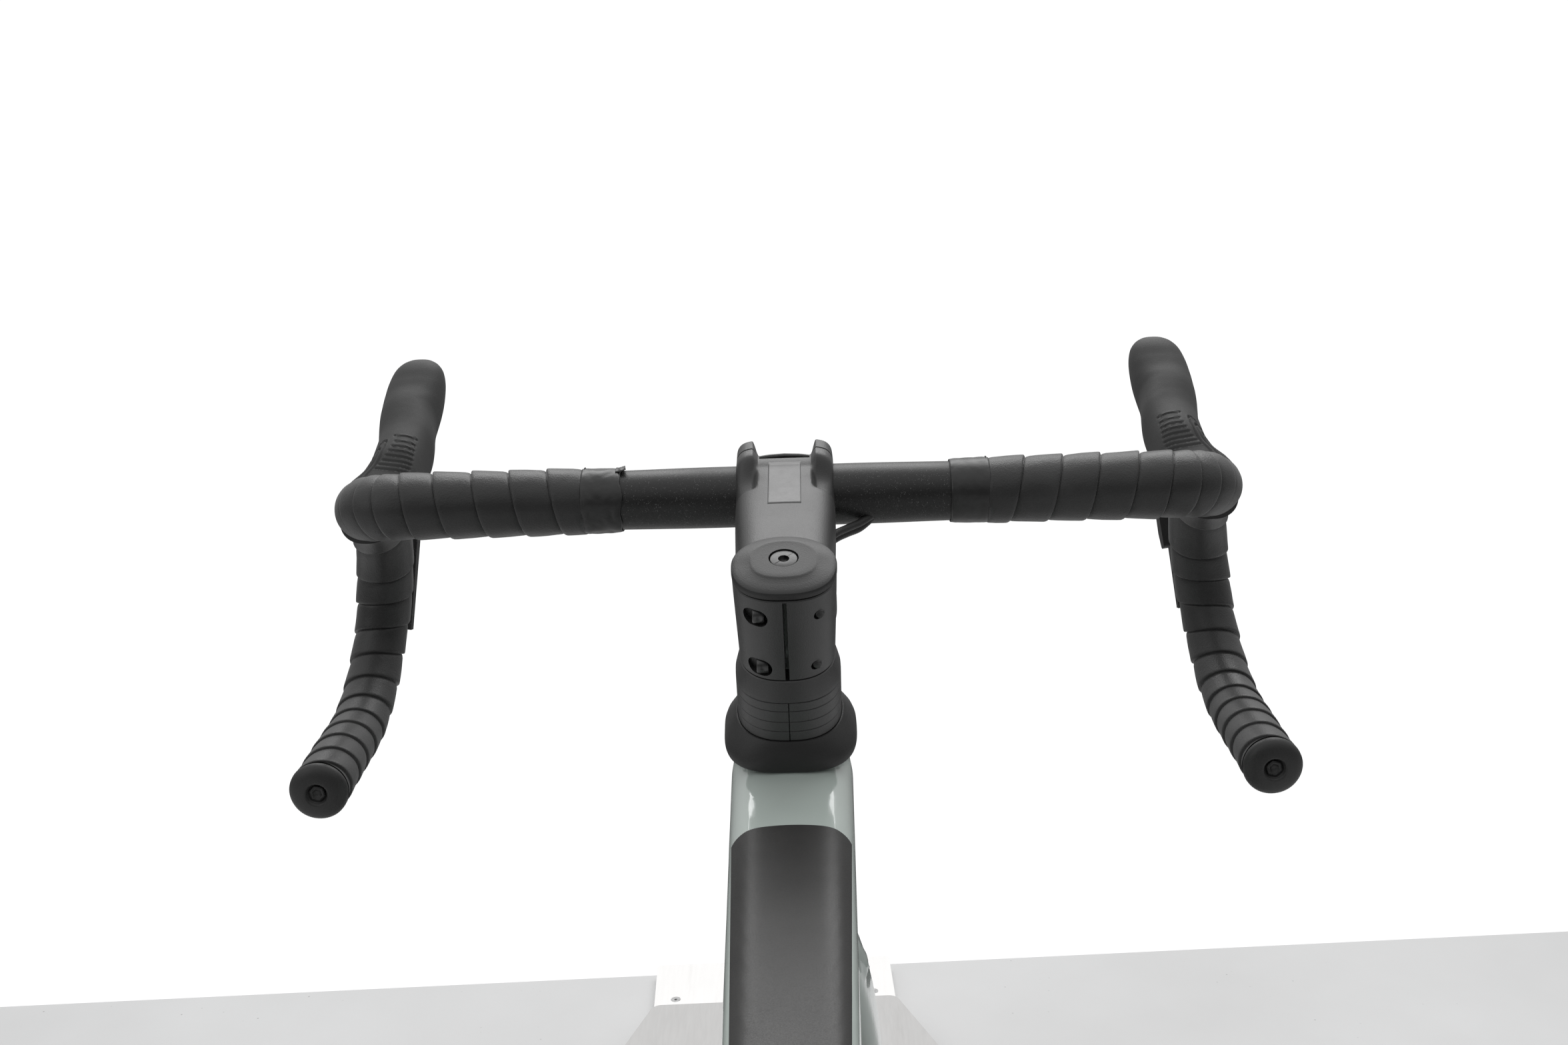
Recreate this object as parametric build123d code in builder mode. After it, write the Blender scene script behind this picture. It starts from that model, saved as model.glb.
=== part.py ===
from build123d import *
from math import atan2, cos, degrees, hypot, pi, radians, sin, sqrt
import os

os.makedirs("parts", exist_ok=True)

# Row frame: +Y forward, +X to the drive side, +Z up. The origin is on the underside of
# the stand's base board, below the bottom bracket. Heights called "level" are measured
# from the underside of the wheels, which stand ride_height above the floor.

# ---- driving dimensions of the stand ----
board_length, board_width, board_thick = 2440.0, 308.0, 18.0
board_rear = -776.0
board_yaw = 2.0
deck_thick, deck_width = 12.0, 560.0
deck_front, deck_shoulder, deck_front_width = 1546.0, 1190.0, 306.0
wheel_gap = 0.4
ride_height = board_thick + deck_thick + wheel_gap

# ---- driving dimensions of the bicycle ----
wheel_r = 344.0
tyre_half = 16.5
bb_level = 279.0
chainstay = 425.0
seat_angle, seat_tube_len = 73.5, 552.0
head_angle, head_tube_len = 71.5, 147.0
fork_len, fork_rake = 395.0, 45.0
wheelbase = 1026.3
crank_len = 172.5
chain_x = 47.5
chain_pitch = 12.7
ring_teeth, pulley_teeth = 40, 12
cog_teeth = [32, 28, 24, 21, 19, 17, 15, 14, 13, 12, 11]
drive_cog = 17
cog_pitch, first_cog_x = 3.9, 28.0

# ---- driving dimensions of the cockpit ----
bar_width = 449.0
bar_r, drop_r = 15.9, 12.0
bend_r, ramp_angle, flare_angle = 30.0, 18.0, 8.0
drop_bend_r, drop_depth, drop_tail = 64.0, 135.8, 54.7
stem_len, stem_drop_angle, stem_stack = 106.6, 3.27, 65.4
stem_low, stem_high, cap_high = 43.0, 90.0, 95.6
tape_top_r, tape_drop_r, tape_start = 17.4, 14.8, 104.0
band_width = 19.0

# ---- rear drive and axle dimensions ----
rear_half, front_half = 71.0, 50.0
axle_r = 6.0
stub_r, stub_end = 8.0, 98.0
rear_rotor_x, rear_rotor_r = -56.5, 70.0
front_rotor_x, front_rotor_r = -39.5, 80.0
rotor_thick = 1.8
fit = 0.05

X = Vector(1, 0, 0)


def at(x, y, level):
    """A point of the bicycle, with its height measured from the underside of the wheels."""
    return Vector(x, y, level + ride_height)


def mirrored(side):
    """+1 builds the drive side, -1 the other."""
    return 1 if side == "right" else -1


def write(piece, name):
    piece.label = name
    export_step(piece, f"parts/{name}.step")


def section(centre, along, width, height, corner):
    """A rounded rectangle square to a direction, its width kept along X."""
    with BuildSketch(Plane(origin=centre, x_dir=(1, 0, 0), z_dir=along)) as cut:
        RectangleRounded(width, height, corner)
    return cut.sketch


def rod(start, end, radius):
    """A round rod between two points."""
    run = end - start
    with BuildSketch(Plane(origin=start, z_dir=run)) as disc:
        Circle(radius)
    extrude(disc.sketch, amount=run.length)


def ring_x(centre, x_from, x_to, outer, inner=0.0, mode=Mode.ADD):
    """A disc or a ring whose axis is along X."""
    with BuildSketch(side_plane(x_from, centre)) as disc:
        Circle(outer)
        if inner:
            Circle(inner, mode=Mode.SUBTRACT)
    extrude(disc.sketch, amount=x_to - x_from, mode=mode)


def side_plane(x, centre):
    """A plane square to X: its own x is forward and its own y is up."""
    return Plane(origin=(x, centre.Y, centre.Z), x_dir=(0, 1, 0), z_dir=(1, 0, 0))


# ---- frame points ----
bb = at(0, 0, bb_level)
rear_axle_y = -sqrt(chainstay**2 - (wheel_r - bb_level) ** 2)
rear_axle = at(0, rear_axle_y, wheel_r)
front_axle = at(0, rear_axle_y + wheelbase, wheel_r)
seat_dir = Vector(0, -cos(radians(seat_angle)), sin(radians(seat_angle)))
steer_dir = Vector(0, -cos(radians(head_angle)), sin(radians(head_angle)))
steer_fwd = Vector(0, sin(radians(head_angle)), cos(radians(head_angle)))
crown = front_axle - steer_fwd * fork_rake + steer_dir * sqrt(fork_len**2 - fork_rake**2)
head_low = crown + steer_dir * 6
stack_zero = head_low + steer_dir * (head_tube_len + 8)
seat_top = bb + seat_dir * seat_tube_len


def on_axis(high, forward=0.0, x=0.0):
    """A point by its distance up the steering axis from the headset line."""
    return stack_zero + steer_dir * high + steer_fwd * forward + X * x


def axis_plane(high, forward=0.0, x=0.0):
    """A plane square to the steering axis: its own x is across and its own y is forward."""
    return Plane(origin=on_axis(high, forward, x), x_dir=(1, 0, 0), z_dir=steer_dir)


# ---- the stand ----
yawed = Plane.XY.rotated((0, 0, board_yaw))


def board_plane(high):
    return Plane(origin=(0, 0, high), x_dir=yawed.x_dir, z_dir=(0, 0, 1))


screw_r, screw_head_r = 3.0, 6.5
far_screw_y = board_rear + board_length - 86.0
screw_places = [(x, far_screw_y) for x in (-127, 127)]
deck_screw_places = [(x, y) for x in (-258, 258) for y in (-740, -380, 0, 380, 760, 1120)]
top_of_board = board_thick
top_of_deck = board_thick + deck_thick

with BuildPart() as base_board:
    with BuildSketch(board_plane(0)):
        with Locations((0, board_rear + board_length / 2)):
            RectangleRounded(board_width, board_length, 6)
    extrude(amount=board_thick)
    with Locations(board_plane(top_of_board)):
        with Locations(*screw_places):
            CounterSinkHole(screw_r, screw_head_r, depth=board_thick - 3)
write(base_board.part, "base_board")

half_front, half_deck = deck_front_width / 2, deck_width / 2
with BuildPart() as deck_plate:
    with BuildSketch(board_plane(board_thick)):
        Polygon(
            (-half_front, deck_front),
            (-half_deck, deck_shoulder),
            (-half_deck, board_rear),
            (half_deck, board_rear),
            (half_deck, deck_shoulder),
            (half_front, deck_front),
            align=None,
        )
        fillet(vertices(), 14)
    extrude(amount=deck_thick)
    # bearers under the wings of the deck bring them down to the floor
    with BuildSketch(board_plane(0)):
        for side in (-1, 1):
            with Locations((side * (half_deck - 35), (board_rear + deck_shoulder) / 2)):
                Rectangle(50, deck_shoulder - board_rear - 40)
    extrude(amount=board_thick)
    with Locations(board_plane(top_of_deck)):
        with Locations(*deck_screw_places):
            CounterSinkHole(screw_r, screw_head_r, depth=deck_thick + 8)
write(deck_plate.part, "deck_plate")


def countersunk_screw(top, length):
    """A countersunk wood screw with a hexagon socket, its head flush with its own plane."""
    sink = screw_head_r - screw_r
    with BuildSketch(top.offset(-0.3)) as head:
        Circle(screw_head_r - 0.4)
    with BuildSketch(top.offset(-0.3 - sink)) as neck:
        Circle(screw_r - 0.2)
    loft([head.sketch, neck.sketch])
    extrude(neck.sketch, amount=-(length - sink))
    with BuildSketch(top.offset(-2.4)) as socket:
        RegularPolygon(2.0, 6)
    extrude(socket.sketch, amount=4, mode=Mode.SUBTRACT)


leg_x, leg_top_x, leg_top_half = 150.0, 103.0, 30.0
leg_spread, leg_r = 105.0, 11.0
foot_size, foot_thick = (70.0, 46.0), 5.0
hook_gap = 0.35
hook_liner = 3.0
hook_x, hook_thick = 88.0, 8.0
leg_apex = 46.0
foot_screw = 24.0
foot_places = [
    Vector(s * leg_x, rear_axle_y + t * leg_spread, top_of_deck) for s in (-1, 1) for t in (-1, 1)
]

with BuildPart() as platform_screws:
    for x, y in screw_places:
        spot = board_plane(top_of_board)
        countersunk_screw(Plane(origin=spot.from_local_coords((x, y, 0)), z_dir=(0, 0, 1)), 12)
    for x, y in deck_screw_places:
        spot = board_plane(top_of_deck)
        countersunk_screw(Plane(origin=spot.from_local_coords((x, y, 0)), z_dir=(0, 0, 1)), 17)
    for foot in foot_places:
        for shift in (-foot_screw, foot_screw):
            head = foot + Vector(shift, 0, foot_thick + 0.1)
            with BuildSketch(Plane(origin=head, z_dir=(0, 0, 1))):
                Circle(5.5)
            extrude(amount=3.5)
            with BuildSketch(Plane(origin=head + Vector(0, 0, 1.5), z_dir=(0, 0, 1))):
                RegularPolygon(2.5, 6)
            extrude(amount=4, mode=Mode.SUBTRACT)
write(platform_screws.part, "platform_screws")

for side in ("left", "right"):
    s = mirrored(side)
    apex = Vector(s * leg_top_x, rear_axle_y, rear_axle.Z - leg_apex)
    half_top = Vector(0, leg_top_half, 0)
    feet = [f for f in foot_places if f.X * s > 0]
    with BuildPart() as stand_leg:
        with BuildLine():
            FilletPolyline(feet[0], apex - half_top, apex + half_top, feet[1], radius=18)
        with BuildSketch(Plane(origin=feet[0], z_dir=apex - half_top - feet[0])):
            Circle(leg_r)
        sweep()
        split(bisect_by=Plane(origin=(0, 0, top_of_deck), z_dir=(0, 0, 1)), keep=Keep.TOP)
        for foot in feet:
            with BuildSketch(Plane(origin=foot, z_dir=(0, 0, 1))):
                RectangleRounded(*foot_size, 8)
            extrude(amount=foot_thick)
        with BuildSketch(side_plane(s * (hook_x + hook_thick / 2), rear_axle)):
            slot = stub_r + hook_gap + hook_liner
            with Locations((0, -20)):
                RectangleRounded(46, 84, 12)
            with Locations((0, 20)):
                Rectangle(2 * slot, 40, mode=Mode.SUBTRACT)
            Circle(slot, mode=Mode.SUBTRACT)
        extrude(amount=hook_thick / 2, both=True)
    write(stand_leg.part, f"stand_leg_{side}")

with BuildPart() as hook_liners:
    for s in (-1, 1):
        with BuildSketch(side_plane(s * (hook_x + hook_thick / 2), rear_axle)):
            outer = stub_r + hook_gap + hook_liner
            inner = stub_r + hook_gap
            Circle(outer)
            with Locations((0, 8)):
                Rectangle(2 * outer, 16)
            with Locations((0, 10)):
                Rectangle(2 * inner, 20, mode=Mode.SUBTRACT)
            Circle(inner, mode=Mode.SUBTRACT)
        extrude(amount=hook_thick / 2 + 1.5, both=True)
write(hook_liners.part, "hook_liners")

# ---- main frame ----
tt_front, tt_rear = at(0, 392, 815.5), at(0, -146, 768)
dt_top, dt_low = on_axis(-104), bb + Vector(0, 12, 6)
top_tube = [(0.0, 60, 46, 14), (0.3, 55, 44, 13), (0.6, 50, 41, 12), (1.0, 44, 38, 12)]
down_tube = [(0.0, 52, 62, 18), (0.35, 58, 60, 20), (1.0, 66, 60, 20)]
seat_tube_r = 17.2
seatpost_r = 13.6
bb_half, bb_r = 40.0, 25.0
head_top_r, head_mid_r, head_low_r = 30.5, 26.0, 31.0
tube_wall = 2.0


def lofted_tube(start, end, stations, wall=0.0, trim=(0.0, 1.0), mode=Mode.ADD):
    """A tube lofted through its stations, or its inside when a wall is given."""
    run = end - start
    lo, hi = trim
    cuts = []
    for share, wide, high, corner in stations:
        share = lo + (hi - lo) * share
        cuts.append(section(start + run * share, run, wide - 2 * wall, high - 2 * wall, corner - wall))
    loft(cuts, mode=mode)


with BuildPart() as front_triangle:
    lofted_tube(tt_front, tt_rear, top_tube)
    lofted_tube(dt_top, dt_low, down_tube)
    rod(bb, seat_top, seat_tube_r)
    ring_x(bb, -bb_half, bb_half, bb_r + 4)
    with BuildSketch(axis_plane(-8)):
        Circle(head_top_r)
    with BuildSketch(axis_plane(-8 - head_tube_len / 2)):
        Circle(head_mid_r)
    with BuildSketch(axis_plane(-8 - head_tube_len)):
        Circle(head_low_r)
    loft()
    lofted_tube(tt_front, tt_rear, top_tube, tube_wall, (0.08, 0.94), Mode.SUBTRACT)
    lofted_tube(dt_top, dt_low, down_tube, tube_wall, (0.09, 0.9), Mode.SUBTRACT)
    # bores for the steerer and its bearings, the seatpost and the bottom bracket
    with BuildSketch(axis_plane(0)):
        Circle(18)
    extrude(amount=-(head_tube_len + 10), mode=Mode.SUBTRACT)
    with BuildSketch(axis_plane(-8)):
        Circle(25)
    extrude(amount=-9, mode=Mode.SUBTRACT)
    with BuildSketch(axis_plane(-8 - head_tube_len)):
        Circle(26)
    extrude(amount=9, mode=Mode.SUBTRACT)
    with BuildSketch(Plane(origin=seat_top, z_dir=seat_dir)):
        Circle(seatpost_r + fit)
    extrude(amount=-300, mode=Mode.SUBTRACT)
    ring_x(bb, -bb_half - 1, bb_half + 1, 21, mode=Mode.SUBTRACT)
write(front_triangle.part, "front_triangle")

# ---- stays ----
drop_x, drop_thick = rear_half, 8.0


def stay_points(s):
    lower = [
        (Vector(s * 27, bb.Y - 22, bb.Z + 4), 22, 34, 9),
        (Vector(s * 33, rear_axle_y * 0.42, bb.Z + 24), 17, 28, 7),
        (Vector(s * 60, rear_axle_y * 0.76, bb.Z + 50), 13, 24, 5),
        (Vector(s * 70, rear_axle_y * 0.86, bb.Z + 57), 11, 22, 5),
        (rear_axle + X * (s * 75), 8, 24, 3.5),
    ]
    upper = [
        (bb + seat_dir * 440 + X * (s * 12), 16, 18, 6),
        (at(s * 33, -196, 632), 14, 17, 6),
        (at(s * 52, -318, 478), 13, 16, 5),
        (at(s * 70, -398, 376), 11, 16, 5),
        (rear_axle + X * (s * 75) + Vector(0, 2, 4), 8, 20, 3.5),
    ]
    return lower, upper


def stay(stations):
    """A stay lofted smoothly through its stations."""
    points = [station[0] for station in stations]
    heads = points[1:] + points[-1:]
    tails = points[:1] + points[:-1]
    cuts = []
    for (point, wide, high, corner), head, tail in zip(stations, heads, tails):
        cuts.append(section(point, head - tail, wide, high, corner))
    loft(cuts)


with BuildPart() as rear_triangle:
    for s in (-1, 1):
        for run in stay_points(s):
            stay(run)
        ring_x(rear_axle, s * drop_x, s * (drop_x + drop_thick), 17)
    # the hanger that carries the derailleur
    with BuildSketch(side_plane(drop_x + 1, rear_axle)):
        with Locations((-4, -14)):
            RectangleRounded(24, 44, 8)
    extrude(amount=drop_thick - 2)
    # bridges behind the seat tube and the bottom bracket
    rod(at(-33, -196, 632), at(33, -196, 632), 6)
    ring_x(rear_axle, -drop_x - 20, drop_x + 20, axle_r + 0.1, mode=Mode.SUBTRACT)
    ring_x(rear_axle, -drop_x + 0.05, drop_x - 0.05, 26, mode=Mode.SUBTRACT)
    for s in (-1, 1):
        ring_x(rear_axle, s * (drop_x + drop_thick), s * stub_end, stub_r + 4, mode=Mode.SUBTRACT)
    ring_x(bb, -60, 60, bb_r + 4.1, mode=Mode.SUBTRACT)
    with BuildSketch(Plane(origin=bb, z_dir=seat_dir)):
        Circle(seat_tube_r + 0.1)
    extrude(amount=seat_tube_len, mode=Mode.SUBTRACT)
write(rear_triangle.part, "rear_triangle")

with BuildPart() as headset_cups:
    foot = -8 - head_tube_len
    for low, high, outer in ((-16.9, -8.1, 24.9), (foot + 0.1, foot + 8.9, 25.9)):
        with BuildSketch(axis_plane(low)):
            Circle(outer)
            Circle(outer - 4.2, mode=Mode.SUBTRACT)
        extrude(amount=high - low)
write(headset_cups.part, "headset_cups")

spindle_r = 15.0
with BuildPart() as bottom_bracket:
    for s in (-1, 1):
        ring_x(bb, s * 24, s * bb_half, 20.9, spindle_r + fit)
        ring_x(bb, s * bb_half, s * (bb_half + 4), 23.5, spindle_r + fit)
write(bottom_bracket.part, "bottom_bracket")

with BuildPart() as rear_axle_pin:
    ring_x(rear_axle, -drop_x - drop_thick - 1, drop_x + drop_thick + 1, axle_r)
    for s in (-1, 1):
        near, far = drop_x + drop_thick + 0.1, stub_end
        ring_x(rear_axle, s * near, s * far, stub_r)
        with BuildSketch(side_plane(s * far, rear_axle)):
            RegularPolygon(3.4, 6)
        extrude(amount=-s * 8, mode=Mode.SUBTRACT)
write(rear_axle_pin.part, "rear_axle")

with BuildPart() as seat_clamp:
    collar = Plane(origin=seat_top - seat_dir * 15, x_dir=(1, 0, 0), z_dir=seat_dir)
    with BuildSketch(collar):
        Circle(seat_tube_r + 3.6)
        with Locations((0, -seat_tube_r - 3)):
            RectangleRounded(20, 12, 3)
        Circle(seat_tube_r + 0.1, mode=Mode.SUBTRACT)
        with Locations((0, -seat_tube_r - 4)):
            Rectangle(1.6, 14, mode=Mode.SUBTRACT)
    extrude(amount=13)
write(seat_clamp.part, "seat_clamp")

# ---- drive train ----


def pitch_radius(teeth):
    return chain_pitch / (2 * sin(pi / teeth))


def sprocket(centre, x, teeth, thick, bore):
    """A toothed disc: each tooth is a narrow tip between two root points."""
    pitch_r = pitch_radius(teeth)
    root, tip = pitch_r - 3.4, pitch_r + 2.6
    step = 2 * pi / teeth
    points = []
    for i in range(teeth):
        for share, r in ((-0.24, root), (-0.07, tip), (0.07, tip), (0.24, root)):
            a = (i + share) * step
            points.append((r * sin(a), r * cos(a)))
    with BuildSketch(side_plane(x - thick / 2, centre)) as disc:
        Polygon(*points, align=None)
        Circle(bore, mode=Mode.SUBTRACT)
    extrude(disc.sketch, amount=thick)


guide_at = rear_axle + Vector(0, -6, -76)
tension_at = guide_at + Vector(0, 30, -54)
wraps = [
    (bb, pitch_radius(ring_teeth), 1),
    (tension_at, pitch_radius(pulley_teeth), 1),
    (guide_at, pitch_radius(pulley_teeth), -1),
    (rear_axle, pitch_radius(drive_cog), 1),
]


def leg_between(first, second, offset):
    """The straight run of chain from one wheel to the next: its two ends."""
    (a, ra, sa), (b, rb, sb) = first, second
    ra, rb = ra + sa * offset, rb + sb * offset
    gap = b - a
    k = sb * rb - sa * ra
    run = sqrt(gap.Y**2 + gap.Z**2 - k**2)
    heading = atan2(gap.Z, gap.Y) + atan2(k, run)
    ny, nz = sin(heading), -cos(heading)
    start = (a.Y - sa * ra * ny, a.Z - sa * ra * nz)
    end = (b.Y - sb * rb * ny, b.Z - sb * rb * nz)
    return start, end


def chain_loop(offset):
    """The closed outline of the chain, moved out from its pitch line."""
    legs = [leg_between(wraps[i], wraps[(i + 1) % 4], offset) for i in range(4)]
    for i, (start, end) in enumerate(legs):
        Line(start, end)
        centre, r, turn = wraps[(i + 1) % 4]
        r += turn * offset
        a0 = atan2(end[1] - centre.Z, end[0] - centre.Y)
        after = legs[(i + 1) % 4][0]
        a1 = atan2(after[1] - centre.Z, after[0] - centre.Y)
        sweep_angle = (a0 - a1) * turn % (2 * pi)
        mid = a0 - turn * sweep_angle / 2
        ThreePointArc(end, (centre.Y + r * cos(mid), centre.Z + r * sin(mid)), after)


side_view = Plane(origin=(0, 0, 0), x_dir=(0, 1, 0), z_dir=(1, 0, 0))
plate_half, plate_in, plate_out = 3.9, 1.9, 2.8
pin_r = 1.8
with BuildPart() as chain:
    for low in (chain_x - plate_out, chain_x + plate_in):
        with BuildSketch(side_view.offset(low)):
            with BuildLine():
                chain_loop(plate_half)
            make_face()
            with BuildLine():
                chain_loop(-plate_half)
            make_face(mode=Mode.SUBTRACT)
        extrude(amount=plate_out - plate_in)
    for i in (0, 3):
        start, end = leg_between(wraps[i], wraps[(i + 1) % 4], 0)
        span = hypot(end[0] - start[0], end[1] - start[1])
        count = int((span - 20) / chain_pitch / 2)
        for j in range(count + 1):
            t = (span / 2 + (j - count / 2) * 2 * chain_pitch) / span
            y, z = start[0] + t * (end[0] - start[0]), start[1] + t * (end[1] - start[1])
            with BuildSketch(side_view.offset(chain_x - plate_out + 0.2)):
                with Locations((y, z)):
                    Circle(pin_r)
            extrude(amount=2 * plate_out - 0.4)
write(chain.part, "chain")

with BuildPart() as cassette:
    for i, teeth in enumerate(cog_teeth):
        sprocket(rear_axle, first_cog_x + i * cog_pitch, teeth, 1.6, 15)
    ring_x(rear_axle, first_cog_x - 1.5, first_cog_x + 10 * cog_pitch + 2.2, 17.6, axle_r + fit)
    ring_x(rear_axle, first_cog_x + 10 * cog_pitch + 2.2, rear_half - 0.3, 9, axle_r + fit)
write(cassette.part, "cassette")

with BuildPart() as chainring:
    sprocket(bb, chain_x, ring_teeth, 2.0, 60)
    with BuildSketch(side_plane(chain_x - 1.6, bb)):
        Circle(75)
        Circle(64, mode=Mode.SUBTRACT)
        for i in range(5):
            with Locations(Location((0, 0, 0), (0, 0, 72 * i + 18))):
                with Locations((48, 0)):
                    Rectangle(44, 16)
        Circle(34)
        Circle(spindle_r + 0.2, mode=Mode.SUBTRACT)
    extrude(amount=3.2)
write(chainring.part, "chainring")

for name, spot in (("guide_pulley", guide_at), ("tension_pulley", tension_at)):
    with BuildPart() as pulley:
        sprocket(spot, chain_x, pulley_teeth, 2.0, 4.05)
        ring_x(spot, chain_x - 2.6, chain_x + 2.6, 9, 4.05)
    write(pulley.part, name)

cage_in, cage_out = chain_x - 6.4, chain_x + 4.8
with BuildPart() as derailleur_cage:
    for low in (cage_in, cage_out):
        with BuildSketch(side_plane(low, guide_at)):
            run = tension_at - guide_at
            angle = degrees(atan2(run.Z, run.Y))
            with Locations(Location((run.Y / 2, run.Z / 2, 0), (0, 0, angle))):
                SlotCenterToCenter(run.length, 22)
                SlotCenterToCenter(run.length - 34, 9, mode=Mode.SUBTRACT)
        extrude(amount=1.6)
    for spot in (guide_at, tension_at):
        ring_x(spot, cage_in, cage_out + 1.6, 4.0)
write(derailleur_cage.part, "derailleur_cage")

knuckle = rear_axle + Vector(0, -10, -28)
body_in, link_in, body_out = cage_out + 1.9, 78.3, 86.0
with BuildPart() as rear_derailleur:
    ring_x(knuckle, link_in, body_out, 11)
    ring_x(guide_at, body_in, body_out - 2, 13)
    with BuildSketch(side_plane(link_in, knuckle)):
        with Locations((-10, -20)):
            SlotCenterToCenter(44, 22, rotation=70)
    extrude(amount=body_out - link_in - 1)
write(rear_derailleur.part, "rear_derailleur")


def caliper(centre, along, x_low, x_high, rotor_centre, rotor_x, rotor_r):
    """A flat-mount brake caliper with the rotor's slot cut out of it."""
    with BuildSketch(Plane(origin=(x_low, centre.Y, centre.Z), x_dir=along, z_dir=(1, 0, 0))) as block:
        RectangleRounded(62, 30, 10)
    extrude(block.sketch, amount=x_high - x_low)
    fillet(edges().group_by(Axis.X)[0] + edges().group_by(Axis.X)[-1], 3)
    half = rotor_thick / 2 + 1.0
    ring_x(rotor_centre, rotor_x - half, rotor_x + half, rotor_r + 3, mode=Mode.SUBTRACT)


rear_caliper_at = rear_axle + Vector(0, 61, 31)
with BuildPart() as rear_caliper:
    caliper(rear_caliper_at, Vector(0, 1, 0), -69.5, -42, rear_axle, rear_rotor_x, rear_rotor_r)
write(rear_caliper.part, "rear_caliper")

hose_r = 2.5
with BuildPart() as rear_hose:
    exit_at = rear_caliper_at + Vector(-58, 31.5, 4)
    with BuildLine() as hose_line:
        FilletPolyline(
            exit_at,
            exit_at + Vector(1, 26, 1),
            exit_at + Vector(5, 52, -6),
            exit_at + Vector(11, 76, -20),
            radius=[40, 50],
        )
    with BuildSketch(Plane(origin=exit_at, z_dir=hose_line.line % 0)):
        Circle(hose_r)
    sweep()
write(rear_hose.part, "rear_hose")

# ---- cranks and pedals ----
crank_in, crank_out, spider_x = 56.0, 72.5, 49.4
pedal_x = 73.0
pedal_wide, pedal_long, pedal_high, pedal_pin_r = 62.0, 66.0, 17.0, 5.0


def crank_arm(s, reach):
    """One arm: a wide eye on the spindle, tapering to the pedal's eye."""
    low = crank_in if s > 0 else -crank_out
    eye = reach.Y
    with BuildSketch(side_plane(low, bb)) as arm:
        Circle(23)
        with Locations((eye, 0)):
            Circle(15)
        Polygon((0, 23), (eye, 15), (eye, -15), (0, -23), align=None)
    extrude(arm.sketch, amount=crank_out - crank_in)
    fillet(edges().group_by(Axis.X)[0] + edges().group_by(Axis.X)[-1], 4)


pedal_spots = {}
for side in ("left", "right"):
    s = mirrored(side)
    reach = Vector(0, s * crank_len, 0)
    pedal_spots[side] = bb + reach
    with BuildPart() as crank:
        crank_arm(s, reach)
        if s > 0:
            ring_x(bb, -44, crank_in + 3, spindle_r, 12)
            ring_x(bb, spider_x, crank_in + 2, 32, 12)
        else:
            ring_x(bb, -crank_in - 3, -44.3, 19, 12)
        tip = pedal_x + 7 + pedal_wide
        ring_x(pedal_spots[side], s * (crank_out - 4), s * tip, pedal_pin_r)
    write(crank.part, f"{side}_crank")
    spot = pedal_spots[side]
    with BuildPart() as pedal:
        low = pedal_x + 5 if s > 0 else -pedal_x - 5 - pedal_wide
        with BuildSketch(side_plane(low, spot)):
            RectangleRounded(pedal_long * 0.5, pedal_high, 6)
        extrude(amount=pedal_wide)
        with BuildSketch(Plane(origin=(low + pedal_wide / 2, spot.Y, spot.Z), z_dir=(0, 0, 1))):
            RectangleRounded(pedal_wide - 6, pedal_long, 10)
            Rectangle(pedal_wide - 26, pedal_long - 16, mode=Mode.SUBTRACT)
        extrude(amount=pedal_high / 2 - 3, both=True)
        ring_x(spot, low - 1, low + pedal_wide + 4, pedal_pin_r + fit, mode=Mode.SUBTRACT)
    write(pedal.part, f"{side}_pedal")

# ---- seatpost and saddle ----
post_up = 112.0
post_in = 130.0
rail_level = 916.0
rail_half = 22.0
rail_r = 3.5
saddle_mid = -200.0
saddle_low, saddle_high = 930.0, 955.0
post_top = seat_top + seat_dir * (post_up - 12)
clamp_at = at(0, post_top.Y - 4, rail_level)

with BuildPart() as seatpost:
    rod(seat_top - seat_dir * post_in, post_top, seatpost_r)
    with BuildSketch(Plane(origin=clamp_at + Vector(0, 0, -rail_r - 11), z_dir=(0, 0, 1))):
        RectangleRounded(2 * rail_half + 10, 36, 6)
    extrude(amount=11 - 0.4)
write(seatpost.part, "seatpost")

with BuildPart() as saddle_clamp:
    with BuildSketch(Plane(origin=clamp_at + Vector(0, 0, rail_r + 0.4), z_dir=(0, 0, 1))):
        RectangleRounded(2 * rail_half + 10, 34, 6)
    extrude(amount=4.4)
    for t in (-1, 1):
        spot = clamp_at + Vector(0, t * 11, -rail_r - 18)
        with BuildSketch(Plane(origin=spot + Vector(0, 0, 18.1), z_dir=(0, 0, 1))):
            Circle(2.9)
        extrude(amount=2 * rail_r - 1)
write(saddle_clamp.part, "saddle_clamp")


def saddle_outline(grow):
    """The plan of the saddle: a narrow nose that flares to the sit bones."""
    wide, nose, long_ = 69 + grow, 17 + grow, 134 + grow
    with BuildLine() as outline:
        right = Spline(
            (0, long_),
            (nose, long_ - 22),
            (nose + 4, 40),
            (nose + 16, -20),
            (wide, -86),
            (wide - 8, -118),
            (0, -long_ + 6),
            tangents=((1, 0), (-1, 0)),
        )
        mirror(right, about=Plane.YZ)
    make_face(outline.edges())


def saddle_plane(level):
    return Plane(origin=at(0, saddle_mid, level), x_dir=(1, 0, 0), z_dir=(0, 0, 1))


with BuildPart() as saddle_cover:
    with BuildSketch(saddle_plane(saddle_low)):
        saddle_outline(0)
    with BuildSketch(saddle_plane(saddle_high)):
        saddle_outline(-9)
    loft()
write(saddle_cover.part, "saddle_cover")

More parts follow.
